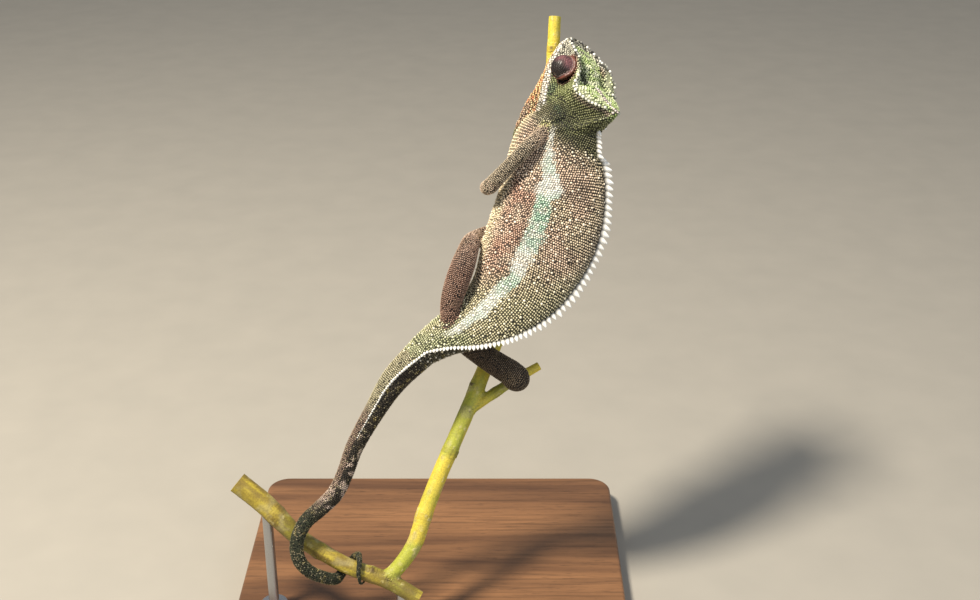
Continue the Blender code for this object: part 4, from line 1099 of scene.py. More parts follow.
snout_x = np.linspace(CASQUE_X, 46.3, 60)
edge = head_line(snout_x, CREST_BREADTH, CREST_HEIGHT)
snout_edge = edge[snout_x > 27]
middle_x = np.linspace(11, CASQUE_X, 20)
middle_line = np.column_stack((middle_x, np.full(20, 0.9), profile(CROWN_HEIGHT, middle_x)))
for side in (1, -1):
    flip = (1, side, 1)
    plate_row(on_head(edge * flip), 2.05)
    plate_row(on_head(edge * (1, 0.88, 1) * flip - (0, 0, 0.3)), 1.85)
    plate_row(on_head(spline((mouth + (0, 0, 1.3)) * flip, 50)), 2.0)
    plate_row(on_head((snout_edge - (0, 0, 2.3)) * flip), 2.0)
    plate_row(on_head(snout_edge * (1, 0.62, 1) * flip + (0, 0, 0.5)), 2.1)
    plate_row(on_head(middle_line * flip), 1.7)
print("with plates:", len(seeds))

# %% Drop them onto the hide and thin out what crowds
hide_tree = BVHTree.FromObject(skin, bpy.context.evaluated_depsgraph_get())
hide_polygons = np.array([p.vertices[:] for p in skin.data.polygons])


def drop(points, farthest):
    """Nearest places on the hide, their normals, and whether each was near enough."""
    found, normals, near = [], [], []
    for point in to_world(points):
        place, normal, index, gap = hide_tree.find_nearest(Vector(point))
        found.append(place)
        normals.append(normal)
        near.append(gap < farthest * MM)
    return to_plane(np.array(found)), way_to_plane(np.array(normals)), np.array(near)


def thin_out(points, radii, cell=2.2, crowd=0.8):
    """Indices of points kept in order, none nearer than crowd times the sum of both radii."""
    kept, boxes = [], {}
    keys = np.floor(points / cell).astype(int)
    around_cell = list(itertools.product((-1, 0, 1), repeat=3))
    spots, sizes = points.tolist(), radii.tolist()
    for i, (a, b, c) in enumerate(keys.tolist()):
        px, py, pz = spots[i]
        size = sizes[i]
        clear = True
        for da, db, dc in around_cell:
            for j in boxes.get((a + da, b + db, c + dc), ()):
                qx, qy, qz = spots[j]
                if (px - qx) ** 2 + (py - qy) ** 2 + (pz - qz) ** 2 < (crowd * (size + sizes[j])) ** 2:
                    clear = False
                    break
            if not clear:
                break
        if clear:
            kept.append(i)
            boxes.setdefault((a, b, c), []).append(i)
    return np.array(kept)


seeds = np.array(seeds)
spots, normals, near = drop(seeds[:, :3], 1.3)
seeds, spots, normals = seeds[near], spots[near], normals[near]
jitter = dice.normal(0, 0.075, (len(spots), 3)) * seeds[:, 3:4] * (seeds[:, 4:5] != PLATE)
spots = spots + jitter - normals * np.sum(jitter * normals, axis=1, keepdims=True)
# random granules over the whole hide, the last of them smaller, to find the gaps left between the others
FILL_TRIES, SMALL_AFTER = 100000, 60000
corners = hide_polygons[dice.integers(0, len(hide_polygons), FILL_TRIES)]
mix = dice.dirichlet((1, 1, 1, 1), len(corners))
fill = np.einsum("ij,ijk->ik", mix, skin_plane[corners])
fill_piece, fill_run = chart(fill)[:2]
on_foot = np.array(["toe" in name or "palm" in name for name in piece_names])[fill_piece]
fill_pitch = np.where(of_piece(fill_piece, "head"), HEAD_PITCH * 0.9, LIMB_PITCH)
along_body = np.interp(fill_run, body_run, [body_pitch(r) for r in body_run])
fill_pitch = np.where(of_piece(fill_piece, "body"), along_body, fill_pitch)
fill_pitch = np.where(on_foot, FOOT_PITCH, fill_pitch)
fill_small = np.arange(FILL_TRIES) >= SMALL_AFTER
fill_pitch = np.where(fill_small, 0.66 * fill_pitch, fill_pitch)
fill, fill_normals = drop(fill, 1.0)[:2]
order = np.concatenate([np.flatnonzero(seeds[:, 4] == kind) for kind in (PLATE, TUBERCLE, GRANULE)])
all_spots = np.vstack((spots[order], fill))
all_normals = np.vstack((normals[order], fill_normals))
all_pitch = np.concatenate((seeds[order, 3], fill_pitch))
fill_kind = np.where(fill_small, INFILL, GRANULE)
all_kind = np.concatenate((seeds[order, 4], fill_kind)).astype(int)
radius = all_pitch * np.array((0.48, 0.62, 0.50, 0.48))[all_kind]
radius = radius * np.where(all_kind == TUBERCLE, 0.85 + 0.35 * dice.random(len(radius)), 1)
EYE_CLEARANCE = 1.35        # the lids' fold takes this much room round the turret
clear_of_eye = np.flatnonzero(off_eyes(all_spots) > EYE_CLEARANCE)
kept = clear_of_eye[thin_out(all_spots[clear_of_eye], radius[clear_of_eye])]
bead_at, bead_normal, bead_radius, bead_kind = (a[kept] for a in (all_spots, all_normals, radius, all_kind))
bead_piece, bead_run, bead_turn = chart(bead_at)
# each bead lies along its own piece's run
bead_way = np.zeros_like(bead_at)
for index, (grid, run, turn) in enumerate(pieces.values()):
    ways = unit(np.gradient(grid.mean(axis=1), axis=0))
    own = bead_piece == index
    bead_way[own] = ways[np.clip(np.searchsorted(run, bead_run[own]), 0, len(run) - 1)]
print("beads kept:", len(kept), "of which plates", int(np.sum(bead_kind == PLATE)),
      "large", int(np.sum(bead_kind == TUBERCLE)))

# %% [markdown]
# ## Turning seeds into scales
# A bead is an eight-sided dome, closed below, with a soft shoulder; plates and spines are domes of nine
# sides. Geometry Nodes set a copy on every seed, turned to the hide and to the lie of the row, scaled by the
# seed's own numbers. The copies are realised into one mesh for each region, which carries its own colours.

# %% One bead, one plate and one spine


def dome(name, sides, rings, top, lean=0.0):
    """Closed dome from rings of (radius, height, rise), with its rise and its place stored for later."""
    verts, rise = [], []
    for radius, height, share in rings:
        for k in range(sides):
            a = 2 * math.pi * k / sides
            verts.append((radius * math.cos(a) + lean * max(height, 0) ** 1.6, radius * math.sin(a), height))
            rise.append(share)
    verts.append((lean * top ** 1.6, 0, top))
    rise.append(1.0)
    faces = [tuple(range(sides - 1, -1, -1))]
    for ring in range(len(rings) - 1):
        for k in range(sides):
            a, b = ring * sides + k, ring * sides + (k + 1) % sides
            faces.append((a, b, b + sides, a + sides))
    last = (len(rings) - 1) * sides
    faces += [(last + k, last + (k + 1) % sides, len(verts) - 1) for k in range(sides)]
    mesh = bpy.data.meshes.new(name)
    mesh.from_pydata(verts, [], faces)
    mesh.polygons.foreach_set("use_smooth", [True] * len(faces))
    mesh.attributes.new("rise", "FLOAT", "POINT").data.foreach_set("value", rise)
    mesh.attributes.new("patch", "FLOAT_VECTOR", "POINT").data.foreach_set("vector", np.ravel(verts))
    print(name, triangles_of(mesh), "triangles")
    return placed(name, mesh)


bead = dome("bead", 8, ((1.0, -0.3, 0.0), (0.74, 0.62, 0.7)), 0.94)
plate = dome("plate", 9, ((0.98, -0.4, 0.0), (1.0, 0.2, 0.3), (0.66, 0.78, 0.85)), 0.95)
spine = dome("spine", 9, ((0.9, -0.35, 0.0), (1.0, 0.05, 0.05), (0.86, 0.33, 0.35), (0.6, 0.62, 0.75),
                          (0.28, 0.88, 0.95)), 1.0, lean=0.6)

# %% The Geometry Nodes tree that sets the beads


def feed(tree, node, inputs):
    """Give each input of a node a value, or a link from another node's output."""
    for key, value in inputs.items():
        if isinstance(value, bpy.types.NodeSocket):
            tree.links.new(value, node.inputs[key])
        else:
            node.inputs[key].default_value = value


def add(tree, kind, settings=None, inputs=None):
    node = tree.nodes.new(kind)
    for key, value in (settings or {}).items():
        setattr(node, key, value)
    feed(tree, node, inputs or {})
    return node


def bead_tree():
    tree = bpy.data.node_groups.new("set_beads", "GeometryNodeTree")
    face = tree.interface
    for name, kind in (("Seeds", "Geometry"), ("Bead", "Object"), ("Finish", "Material"),
                       ("Length over width", "Float")):
        face.new_socket(name, in_out="INPUT", socket_type="NodeSocket" + kind)
    face.new_socket("Scales", in_out="OUTPUT", socket_type="NodeSocketGeometry")
    given = add(tree, "NodeGroupInput")
    normal, way, width, height = (
        add(tree, "GeometryNodeInputNamedAttribute", {"data_type": kind}, {"Name": name}).outputs["Attribute"]
        for name, kind in (("outward", "FLOAT_VECTOR"), ("lie", "FLOAT_VECTOR"), ("width", "FLOAT"),
                           ("height", "FLOAT")))
    long = add(tree, "ShaderNodeMath", {"operation": "MULTIPLY"},
               {0: width, 1: given.outputs["Length over width"]})
    size = add(tree, "ShaderNodeCombineXYZ", None, {"X": long.outputs[0], "Y": width, "Z": height})
    turned = add(tree, "FunctionNodeAxesToRotation", {"primary_axis": "Z", "secondary_axis": "X"},
                 {"Primary Axis": normal, "Secondary Axis": way})
    shape = add(tree, "GeometryNodeObjectInfo", None, {"Object": given.outputs["Bead"]})
    points = add(tree, "GeometryNodeMeshToPoints", None, {"Mesh": given.outputs["Seeds"]})
    placed = add(tree, "GeometryNodeInstanceOnPoints", None,
                 {"Points": points.outputs[0], "Instance": shape.outputs["Geometry"],
                  "Rotation": turned.outputs[0], "Scale": size.outputs[0]})
    real = add(tree, "GeometryNodeRealizeInstances", None, {"Geometry": placed.outputs[0]})
    finish = add(tree, "GeometryNodeSetMaterial", None,
                 {"Geometry": real.outputs[0], "Material": given.outputs["Finish"]})
    add(tree, "NodeGroupOutput", None, {"Scales": finish.outputs[0]})
    return tree


set_beads = bead_tree()


def store(mesh, name, kind, values):
    """Write one value for each point of a mesh as a named attribute."""
    key = {"FLOAT": "value", "FLOAT_VECTOR": "vector", "FLOAT_COLOR": "color"}[kind]
    layer = mesh.attributes.new(name, kind, "POINT")
    layer.data.foreach_set(key, np.ascontiguousarray(values, np.float32).ravel())


def store_rgb(mesh, name, rgb):
    store(mesh, name, "FLOAT_COLOR", np.column_stack((rgb, np.ones(len(rgb)))))


PATCH = 0.0015              # half the breadth of one scale's patch on its bake map


def grow(name, template, finish, at, outward, lie, width, height, rgb, tone, root, stretch=1.0):
    """Mesh object of template copies at plane points, with colours and a bake map."""
    mesh = bpy.data.meshes.new(name + "_seeds")
    mesh.vertices.add(len(at))
    set_points(mesh, to_world(at))
    store(mesh, "outward", "FLOAT_VECTOR", way_to_world(outward))
    store(mesh, "lie", "FLOAT_VECTOR", way_to_world(lie))
    store(mesh, "width", "FLOAT", np.asarray(width) * MM)
    store(mesh, "height", "FLOAT", np.asarray(height) * MM)
    store_rgb(mesh, "marking", rgb)
    store(mesh, "tone", "FLOAT", tone)
    store(mesh, "root", "FLOAT_VECTOR", np.column_stack((root, np.zeros(len(root)))))
    obj = placed(name, mesh)
    nodes = obj.modifiers.new("beads", "NODES")
    nodes.node_group = set_beads
    keys = {item.name: item.identifier for item in set_beads.interface.items_tree if item.in_out == "INPUT"}
    nodes[keys["Bead"]] = template
    nodes[keys["Finish"]] = finish
    nodes[keys["Length over width"]] = stretch
    settle(obj)
    mesh = obj.data
    mesh.name = name
    patch, roots = (triples(mesh.attributes[key].data, "vector")[:, :2] for key in ("patch", "root"))
    flat = roots + PATCH * patch
    corner = np.empty(len(mesh.loops), np.int32)
    mesh.loops.foreach_get("vertex_index", corner)
    uv = mesh.uv_layers.new(name="OFBake")
    uv.uv.foreach_set("vector", flat[corner].astype(np.float32).ravel())
    for spare in ("patch", "root", "outward", "lie", "width", "height"):
        if spare in mesh.attributes:
            mesh.attributes.remove(mesh.attributes[spare])
    return obj


def unrolled(run, turn, piece):
    """Places on the hide's own unwrap, from 0 to 1: run by turn of each piece, pieces side by side."""
    flat = np.zeros((len(run), 2))
    present = sorted(set(piece.tolist()))
    weights = np.array([max(np.ptp(run[piece == p]), 3.0) for p in present])
    starts = np.concatenate(([0], np.cumsum(weights))) / weights.sum()
    for index, p in enumerate(present):
        own = piece == p
        span = max(np.ptp(run[own]), 1e-6)
        share = (run[own] - run[own].min()) / span
        flat[own, 0] = starts[index] + share * (starts[index + 1] - starts[index]) * 0.97
        flat[own, 1] = turn[own] / 360
    return 0.01 + 0.98 * flat


print("inputs of the tree:", [item.name for item in set_beads.interface.items_tree if item.in_out == "INPUT"])

# %% [markdown]
# ## The hide's finishes
# A reptile's scale is keratin over pigment. Here each is painted darker at its foot as shade and paler on top
# as a painted highlight. The hide between is matt and painted much darker, as shade between the beads. Both
# read the marking that was worked out for them, and vary it with fine noise and, on a scale, with its own
# tone.

# %% Materials of scale and hide


def finish(name):
    """New material, its node tree and its Principled shader."""
    material = bpy.data.materials.new(name)
    material.use_nodes = True
    return material, material.node_tree, material.node_tree.nodes["Principled BSDF"]


def noise(tree, size_mm, detail=2.0, stretch=(1, 1, 1), distortion=0.0):
    """Noise on object coordinates whose patches are about size_mm across, longer where stretch is under 1."""
    where = add(tree, "ShaderNodeTexCoord")
    mapped = add(tree, "ShaderNodeMapping", None, {"Vector": where.outputs["Object"], "Scale": stretch})
    return add(tree, "ShaderNodeTexNoise", None,
               {"Vector": mapped.outputs[0], "Scale": 1 / (size_mm * MM), "Detail": detail,
                "Distortion": distortion}).outputs[0]


def spread(tree, value, low, high, start=0.0, stop=1.0):
    """Map a value from start..stop to low..high."""
    return add(tree, "ShaderNodeMapRange", None, {0: value, 1: start, 2: stop, 3: low, 4: high}).outputs[0]


def blend(tree, share, first, second, mode="MIX"):
    """Mix two colours; the share may be a number or a link."""
    return add(tree, "ShaderNodeMix", {"data_type": "RGBA", "blend_type": mode},
               {0: share, 6: first, 7: second}).outputs[2]


def shaded(tree, colour, value):
    """Colour made lighter or darker by a value."""
    grey = add(tree, "ShaderNodeCombineColor", None, {0: value, 1: value, 2: value}).outputs[0]
    return blend(tree, 1.0, colour, grey, "MULTIPLY")


def times(tree, first, second):
    return add(tree, "ShaderNodeMath", {"operation": "MULTIPLY"}, {0: first, 1: second}).outputs[0]


def stored(tree, name, output="Fac"):
    """What was stored under a name on the mesh."""
    return add(tree, "ShaderNodeAttribute", {"attribute_name": name}).outputs[output]


def rgba(code):
    return (*linear(code), 1.0)


def bumped(tree, height, distance_mm, strength):
    return add(tree, "ShaderNodeBump", None,
               {"Height": height, "Distance": distance_mm * MM, "Strength": strength}).outputs[0]


# scale_keratin: painted shade at each bead's foot and a painted highlight on its crown, so each bead reads as
# its own small light
scale_keratin, tree, shader = finish("scale_keratin")
marking, tone, rise = stored(tree, "marking", "Color"), stored(tree, "tone"), stored(tree, "rise")
grain = noise(tree, 0.35, 3.0)
bright = add(tree, "ShaderNodeRGBToBW", None, {0: marking}).outputs[0]
# painted shade: how dark the bead's foot is painted, lighter under pale markings
foot = spread(tree, bright, 0.03, 0.5, 0.55, 0.9)
tone_and_painted_shade = times(tree, spread(tree, tone, 0.56, 1.32), spread(tree, rise, foot, 1.2))
tone_and_painted_shade = times(tree, tone_and_painted_shade, spread(tree, grain, 0.8, 1.2, 0.3, 0.7))
# painted highlight: how far the crown is blended to pale cream, more on high, well-toned and pale beads
top = times(tree, spread(tree, rise, 0.0, 1.0, 0.5, 1.0), spread(tree, tone, 0.12, 0.62, 0.2, 1.0))
top = times(tree, top, spread(tree, bright, 0.12, 1.0, 0.02, 0.3))
feed(tree, shader, {
    "Base Color": blend(tree, top, shaded(tree, marking, tone_and_painted_shade), rgba("#f0e9da")),
    "Roughness": spread(tree, grain, 0.42, 0.62, 0.3, 0.7), "IOR": 1.5,
    "Normal": bumped(tree, grain, 0.05, 0.35)})

# The hide between the beads: matt and leathery, seen only as the lines round each bead, its marking darkened
# strongly as painted shade, less so under pale markings
hide_between, tree, shader = finish("hide_between")
marking = stored(tree, "marking", "Color")
grain = noise(tree, 0.6, 3.0)
bright = add(tree, "ShaderNodeRGBToBW", None, {0: marking}).outputs[0]
share = times(tree, spread(tree, grain, 0.05, 0.14, 0.3, 0.7), spread(tree, bright, 0.8, 4.5, 0.6, 0.9))
feed(tree, shader, {"Base Color": shaded(tree, marking, share), "Roughness": 0.8,
                    "Normal": bumped(tree, grain, 0.12, 0.6)})
skin.data.materials.clear()
skin.data.materials.append(hide_between)
store_rgb(skin.data, "marking", hide_rgb)
print("finishes:", scale_keratin.name, hide_between.name)

# %% [markdown]
# ## Growing the coat, region by region
# The head and the feet have the finest work, the flank the most beads. Each region becomes one mesh.

# %% Tone, size and colour of each bead
bead_rgb = markings(bead_at, bead_piece, bead_run, bead_turn)
bead_tone = np.clip(dice.beta(2.4, 2.6, len(bead_at)), 0, 1)
large, flat_plate, infill = (bead_kind == kind for kind in (TUBERCLE, PLATE, INFILL))


def toned(own, first, share, second):
    """Give beads a mix of two colours, by the share of the first."""
    bead_rgb[own] = first * share + PIGMENT[second] * (1 - share)


toned(large, bead_rgb[large], 0.6, "large_bead")
bead_tone[large] = np.clip(bead_tone[large] + 0.3, 0, 1)
flecked = (bead_run > VENT) & of_piece(bead_piece, "body") & (dice.random(len(bead_at)) < 0.17)
toned(flecked, bead_rgb[flecked], 0.5, "coil_bead")
face_x, face_y = in_head(bead_at).T[:2]
toned(flat_plate, bead_rgb[flat_plate], 0.25, "crest_white")
toned(flat_plate & (face_x < 9) & (np.abs(face_y) < 2.2), PIGMENT["crest_rose"], 0.6, "crest_white")
dark_snout = flat_plate & (face_x > 27) & (dice.random(len(bead_at)) < 0.16)
bead_rgb[dark_snout] = PIGMENT["snout_bead"]
# painted shade: the small infill beads in the gaps between larger beads are darker, with weaker painted
# highlights
bead_tone[infill] *= 0.5
bead_rgb[infill] *= 0.72
bead_height = bead_radius * np.array((0.92, 1.1, 0.7, 0.6))[bead_kind]
bead_height[of_piece(bead_piece, "head") & ~flat_plate] *= 0.82
bead_width = bead_radius * (0.84 + 0.14 * dice.random(len(bead_at)))


CHEST_END, BELLY_END = 78, 128      # run in mm


def region_of(piece, run):
    """Name of the coat's region for each bead."""
    names = np.array(piece_names)[piece]
    back_half = np.where(run < BELLY_END, "scales_belly", "scales_pelvis")
    trunk = np.where(run < CHEST_END, "scales_chest", back_half)
    body = np.where(run > VENT + 2, "scales_tail", trunk)
    legs = np.where(np.char.find(names, "left") >= 0, "scales_legs_left", "scales_legs_right")
    return np.where(names == "head", "scales_head", np.where(names == "body", body, legs))


bead_region = region_of(bead_piece, bead_run)
coat = []
for name in sorted(set(bead_region)):
    own = bead_region == name
    root = unrolled(bead_run[own], bead_turn[own], bead_piece[own])
    columns = (bead_at, bead_normal, bead_way, bead_width, bead_height, bead_rgb, bead_tone)
    coat.append(grow(name, plate if name == "scales_head" else bead, scale_keratin,
                     *(column[own] for column in columns), root))
    print(name, int(own.sum()), "scales,", triangles_of(coat[-1].data), "triangles")

# %% [markdown]
# ## Crest and throat spines
# A row of soft cones runs down the back, largest over the shoulder and smaller over the pelvis, and a row of
# tiny ones edges the throat. Each cone leans towards the tail and whitens to its tip.

# %% Spines
spine_horn, tree, shader = finish("spine_horn")
rise, marking = stored(tree, "rise"), stored(tree, "marking", "Color")
grain = noise(tree, 0.4, 2.0)
colour = blend(tree, spread(tree, rise, 0.0, 1.0, 0.04, 0.46), marking, rgba("#f6f5ef"))
feed(tree, shader, {"Base Color": shaded(tree, colour, spread(tree, grain, 0.85, 1.08, 0.3, 0.7)),
                    "Roughness": 0.45, "Normal": bumped(tree, grain, 0.05, 0.4)})

# run in mm, and the spacing of the crest's cones there
CREST_PITCH = ((4, 2.2), (22, 3.0), (40, 3.6), (105, 3.6), (128, 2.7), (155, 2.1), (185, 1.8), (205, 1.6),
               (250, 1.3))


def back_line(runs):
    """Points on the middle of the back."""
    return np.array([ring_at(pieces["body"][0], body_run, run)[0] for run in runs])


crest_runs = np.arange(4, 240, 0.5)
ridge_run = lengths(back_line(crest_runs))
rows, gone = [], 0.0
while gone < ridge_run[-1] - 1:
    where = float(np.interp(gone, ridge_run, crest_runs))
    rows.append((where, float(profile(CREST_PITCH, where))))
    gone += rows[-1][1]
rows = np.array(rows)
place_of = np.clip(np.searchsorted(body_run, rows[:, 0]), 0, len(body_run) - 1)
spots, outward = drop(back_line(rows[:, 0]), 3.0)[:2]
outward = unit(0.25 * unit(outward) + backs[place_of])
size = rows[:, 1] * (1 - 0.1 * ramp(rows[:, 0], 150, 185)) * (1 - 0.4 * ramp(rows[:, 0], 185, 238))
size = size * dice.uniform(0.88, 1.1, len(rows))
piece, run, turn = chart(spots)
# painted shade: the crest's marking darkened to about a third for the cones' feet, which spine_horn whitens
# towards the tips
rgb = markings(spots, piece, run, turn) * 0.35
crest = grow("crest_spines", spine, spine_horn, spots, outward, tangents[place_of], size * 0.53, size * 1.48,
             rgb, np.full(len(spots), 0.6), unrolled(rows[:, 0], np.full(len(rows), 180.0), piece * 0), 1.1)

throat_x = np.arange(43, -8, -1.55)
throat_z = profile(THROAT, throat_x)
throat_line = on_head(np.column_stack((throat_x, -THROAT_LEAN * np.minimum(throat_z, 0), throat_z)))
spots, outward = drop(throat_line, 4.0)[:2]
throat_size = 1.25 - 0.4 * ramp(throat_x, 34, 43)
down = HEAD_TURN @ np.array((0, 0.3, -1.0))
way = np.tile(HEAD_TURN @ np.array((-1.0, 0, 0)), (len(spots), 1))
throat = grow("throat_spines", spine, spine_horn, spots, unit(outward + down), way, throat_size * 0.5,
              throat_size * 1.25, np.tile(PIGMENT["throat_orange"] * 0.6, (len(spots), 1)),
              np.full(len(spots), 0.6),
              unrolled(43 - throat_x, np.full(len(spots), 180.0), np.zeros(len(spots), int)))
print("spines on the back:", len(rows), "on the throat:", len(throat_x))

# %% [markdown]
# ## Eyes
# A chameleon's lids are fused into a cone that covers the eyeball and turns with it. Only a small round
# opening shows the eye. The cone is turned as a lathe would, ringed with tiny scales, and the eyeball sits
# inside it. A soft fold rings its foot, thicker behind and below.

# %% Eye turrets
GAZE = {"eye_left": unit(np.array((-0.74, -0.6, -0.3))),
        "eye_right": unit(HEAD_TURN @ np.array((0.55, -0.83, -0.05)))}
# the other two are given in the head's own frame
REAR, SOCKET_AXIS = ({"eye_left": unit(np.array((x, y, z))), "eye_right": unit(np.array((x, -y, z)))}
                     for x, y, z in ((-0.45, -0.66, 0.6), (0.05, 0.83, 0.55)))
lid_skin, tree, shader = finish("lid_skin")
tone, rise = stored(tree, "tone"), stored(tree, "rise")
# painted shade at each tiny scale's foot, paler towards its top by rise, times its own random tone
tone_and_painted_shade = times(tree, spread(tree, tone, 0.75, 1.3), spread(tree, rise, 0.45, 1.1))
feed(tree, shader, {"Base Color": shaded(tree, stored(tree, "marking", "Color"), tone_and_painted_shade), "Roughness": 0.38,
                    "Normal": bumped(tree, noise(tree, 0.3, 2.0), 0.03, 0.4)})

# eyeball_wet: black pupil, brown iris and dark rim, by the distance in mm from the line of sight
eyeball_wet, tree, shader = finish("eyeball_wet")
off = stored(tree, "off_axis")
mottled = spread(tree, noise(tree, 0.25, 3.0), 0.0, 1.0, 0.35, 0.65)
iris = blend(tree, mottled, rgba("#5a2f12"), rgba("#b07a2c"))
seen = blend(tree, spread(tree, off, 0.0, 1.0, 0.82, 0.92), rgba("#050404"), iris)
feed(tree, shader, {"Base Color": blend(tree, spread(tree, off, 0.0, 1.0, 1.45, 1.6), seen, rgba("#1c120c")),
                    "Roughness": 0.06, "IOR": 1.376, "Coat Weight": 0.8, "Coat Roughness": 0.03})

# angle off the line of sight, and the lids' share of the turret's radius there
LID = ((0.0, 0.86), (8.0, 0.87), (11.5, 0.94), (13.0, 1.02), (16.5, 1.055), (21, 1.035), (28, 1.0),
       (40, 0.985), (60, 0.98), (80, 0.975), (100, 0.97), (120, 0.96), (150, 0.94), (180, 0.94))
LID_PITCH = 0.74            # spacing of the lids' tiny scales, mm
LID_SINK = 0.985            # the lids' surface under those scales
BALL_RADIUS = 3.4


def eye_axes(name):
    gaze = GAZE[name]
    side = unit(np.cross(gaze, (0, 0, 1.0)))
    return gaze, side, np.cross(gaze, side)


def off_axis_points(axes, reach, polar, turn):
    """Offsets at a reach, polar radians off the first axis and turned round it."""
    ahead, side, other = axes
    return reach * (ahead * np.cos(polar) + np.sin(polar) * (side * np.cos(turn) + other * np.sin(turn)))


def fold_edge(name, way):
    """Angle off the socket's axis that the fold reaches, and how far each way looks rearward."""
    axis = SOCKET_AXIS[name]
    rear = ramp(unit(way - (way @ axis)[:, None] * axis) @ REAR[name], -0.3, 0.75)
    return 91 - 24 * rear, rear


def lid_colour(name, spots):
    """Plum, near black towards the opening, with a pale rose line and a red-brown fold round its foot."""
    polar = np.degrees(np.arccos(np.clip(unit(spots - on_head(EYE_MIDDLE[name])) @ GAZE[name], -1, 1)))
    head_way = unit(in_head(spots) - EYE_MIDDLE[name])
    edge, rear = fold_edge(name, head_way)
    foot = np.degrees(np.arccos(np.clip(head_way @ SOCKET_AXIS[name], -1, 1))) - edge
    lids = Layers(len(spots), "lid_plum")
    lids.lay("lid_rose", 0.6 * ramp(mottle(spots, 3.0, 5), 0.35, 0.75) * ramp(polar, 45, 80))
    lids.lay("lid_black", 0.96 * ramp(polar + 14 * (mottle(spots, 2.5, 6) - 0.5), 92, 54))
    lids.lay("lid_red", 0.9 * ramp(foot, -6, -2))
    lids.lay("lid_pale", 0.85 * np.exp(-((foot + 10) / 3.2) ** 2) * ramp(rear, 0.1, 0.5))
    return lids.rgb


def lid_mesh(name, verts, faces, rgb, rise, tone):
    """Piece in the lids' skin."""
    piece = mesh_from(name, to_world(verts), faces)
    store_rgb(piece.data, "marking", rgb)
    store(piece.data, "rise", "FLOAT", np.full(len(rgb), rise))
    store(piece.data, "tone", "FLOAT", np.full(len(rgb), tone))
    piece.data.materials.append(lid_skin)
    return piece


def turret_lids(name):
    """The fused lids as one turned shell with faint rings."""
    polar = np.radians(np.concatenate((np.linspace(6, 30, 13), np.linspace(34, 176, 36))))
    reach = EYE_RADIUS * profile(LID, np.degrees(polar)) * LID_SINK
    reach = reach * (1 + 0.004 * np.cos(2 * np.pi * polar * EYE_RADIUS / LID_PITCH))
    shell = off_axis_points(eye_axes(name), reach[:, None, None], polar[:, None, None], turns(64)[:, None])
    verts, faces = capped([on_head(EYE_MIDDLE[name]) + shell])
    return lid_mesh(name + "_lids", verts, faces, lid_colour(name, verts), 0.35, 0.4)


def lid_scales(name):
    """Rings of tiny scales on the lids."""
    seeds, angle = [], 15.0
    while angle < 118:
        arm = EYE_RADIUS * float(profile(LID, angle))
        count = max(int(round(2 * np.pi * arm * math.sin(math.radians(angle)) / LID_PITCH)), 6)
        for k in range(count):
            seeds.append((arm * LID_SINK, angle, 2 * np.pi * (k + 0.5 * (len(seeds) % 2)) / count))
        angle += math.degrees(LID_PITCH * 0.9 / EYE_RADIUS)
    reach, polar, turn = np.array(seeds).T
    outward_by = off_axis_points(eye_axes(name), reach[:, None], np.radians(polar)[:, None], turn[:, None])
    at, outward = on_head(EYE_MIDDLE[name]) + outward_by, unit(outward_by)
    way = np.cross(outward, np.cross(GAZE[name], outward))
    width = LID_PITCH * (0.47 - 0.12 * ramp(polar, 30, 16))
    root = unrolled(polar, np.degrees(turn) % 360, np.zeros(len(at), int))
    return grow(name + "_scales", bead, lid_skin, at, outward, way, width, width * 0.34,
                lid_colour(name, at), dice.random(len(at)), root, 1.15)


def eyeball(name):
    """The ball that shows through the opening."""
    middle, gaze = on_head(EYE_MIDDLE[name]), GAZE[name]
    polar = np.radians(np.linspace(2, 176, 30))[:, None, None]
    ball = middle + gaze * (EYE_RADIUS * 0.96 - BALL_RADIUS) + off_axis_points(
        eye_axes(name), BALL_RADIUS, polar, turns(64)[:, None])
    verts, faces = capped([ball])
    piece = mesh_from(name + "_ball", to_world(verts), faces)
    along = (verts - middle) @ gaze
    off = np.linalg.norm(verts - middle - along[:, None] * gaze, axis=1) + 9 * (along < 0)
    store(piece.data, "off_axis", "FLOAT", off)
    piece.data.materials.append(eyeball_wet)
    return piece


def socket_fold(name, around=72, count=12):
    """The soft fold round the turret's foot, a closed ring whose thickness changes on its way round."""
    axis = SOCKET_AXIS[name]
    first = unit(np.cross(axis, (0, 0, 1.0)))
    second = np.cross(axis, first)
    place = turns(around)
    spoke = np.cos(place)[:, None] * first + np.sin(place)[:, None] * second
    edge, rear = fold_edge(name, spoke)
    edge = np.radians(edge)[:, None]
    thick = 0.22 + 0.8 * rear + 0.07 * np.sin(place * 17)
    core = EYE_MIDDLE[name] + (EYE_RADIUS * 0.99 + 0.35 * thick)[:, None] * (
        spoke * np.sin(edge) + axis * np.cos(edge))
    turn = turns(count)[:, None]
    loop = core[:, None] + thick[:, None, None] * (spoke[:, None] * np.cos(turn) + axis * np.sin(turn))
    loop = loop.reshape(-1, 3)
    faces = grid_faces(around + 1, count) % len(loop)
    inner = np.tile(np.cos(turns(count)), around)
    pale = (0.6 * ramp(inner, -0.5, -0.95))[:, None]
    rgb = PIGMENT["lid_red"] + (PIGMENT["lid_pale"] - PIGMENT["lid_red"]) * pale
    rgb = rgb * (0.7 + 0.6 * mottle(loop, 1.6, 8))[:, None]
    return lid_mesh(name + "_fold", on_head(loop), faces, rgb, 0.7, 0.5)


eyes = {}
for name in EYE_MIDDLE:
    eyes[name] = (turret_lids(name), lid_scales(name), eyeball(name), socket_fold(name))
    print(name, "triangles:", [triangles_of(piece.data) for piece in eyes[name]])

# %% [markdown]
# ## Claws
# Each toe ends in one curved claw of dark horn, paler at its worn tip.

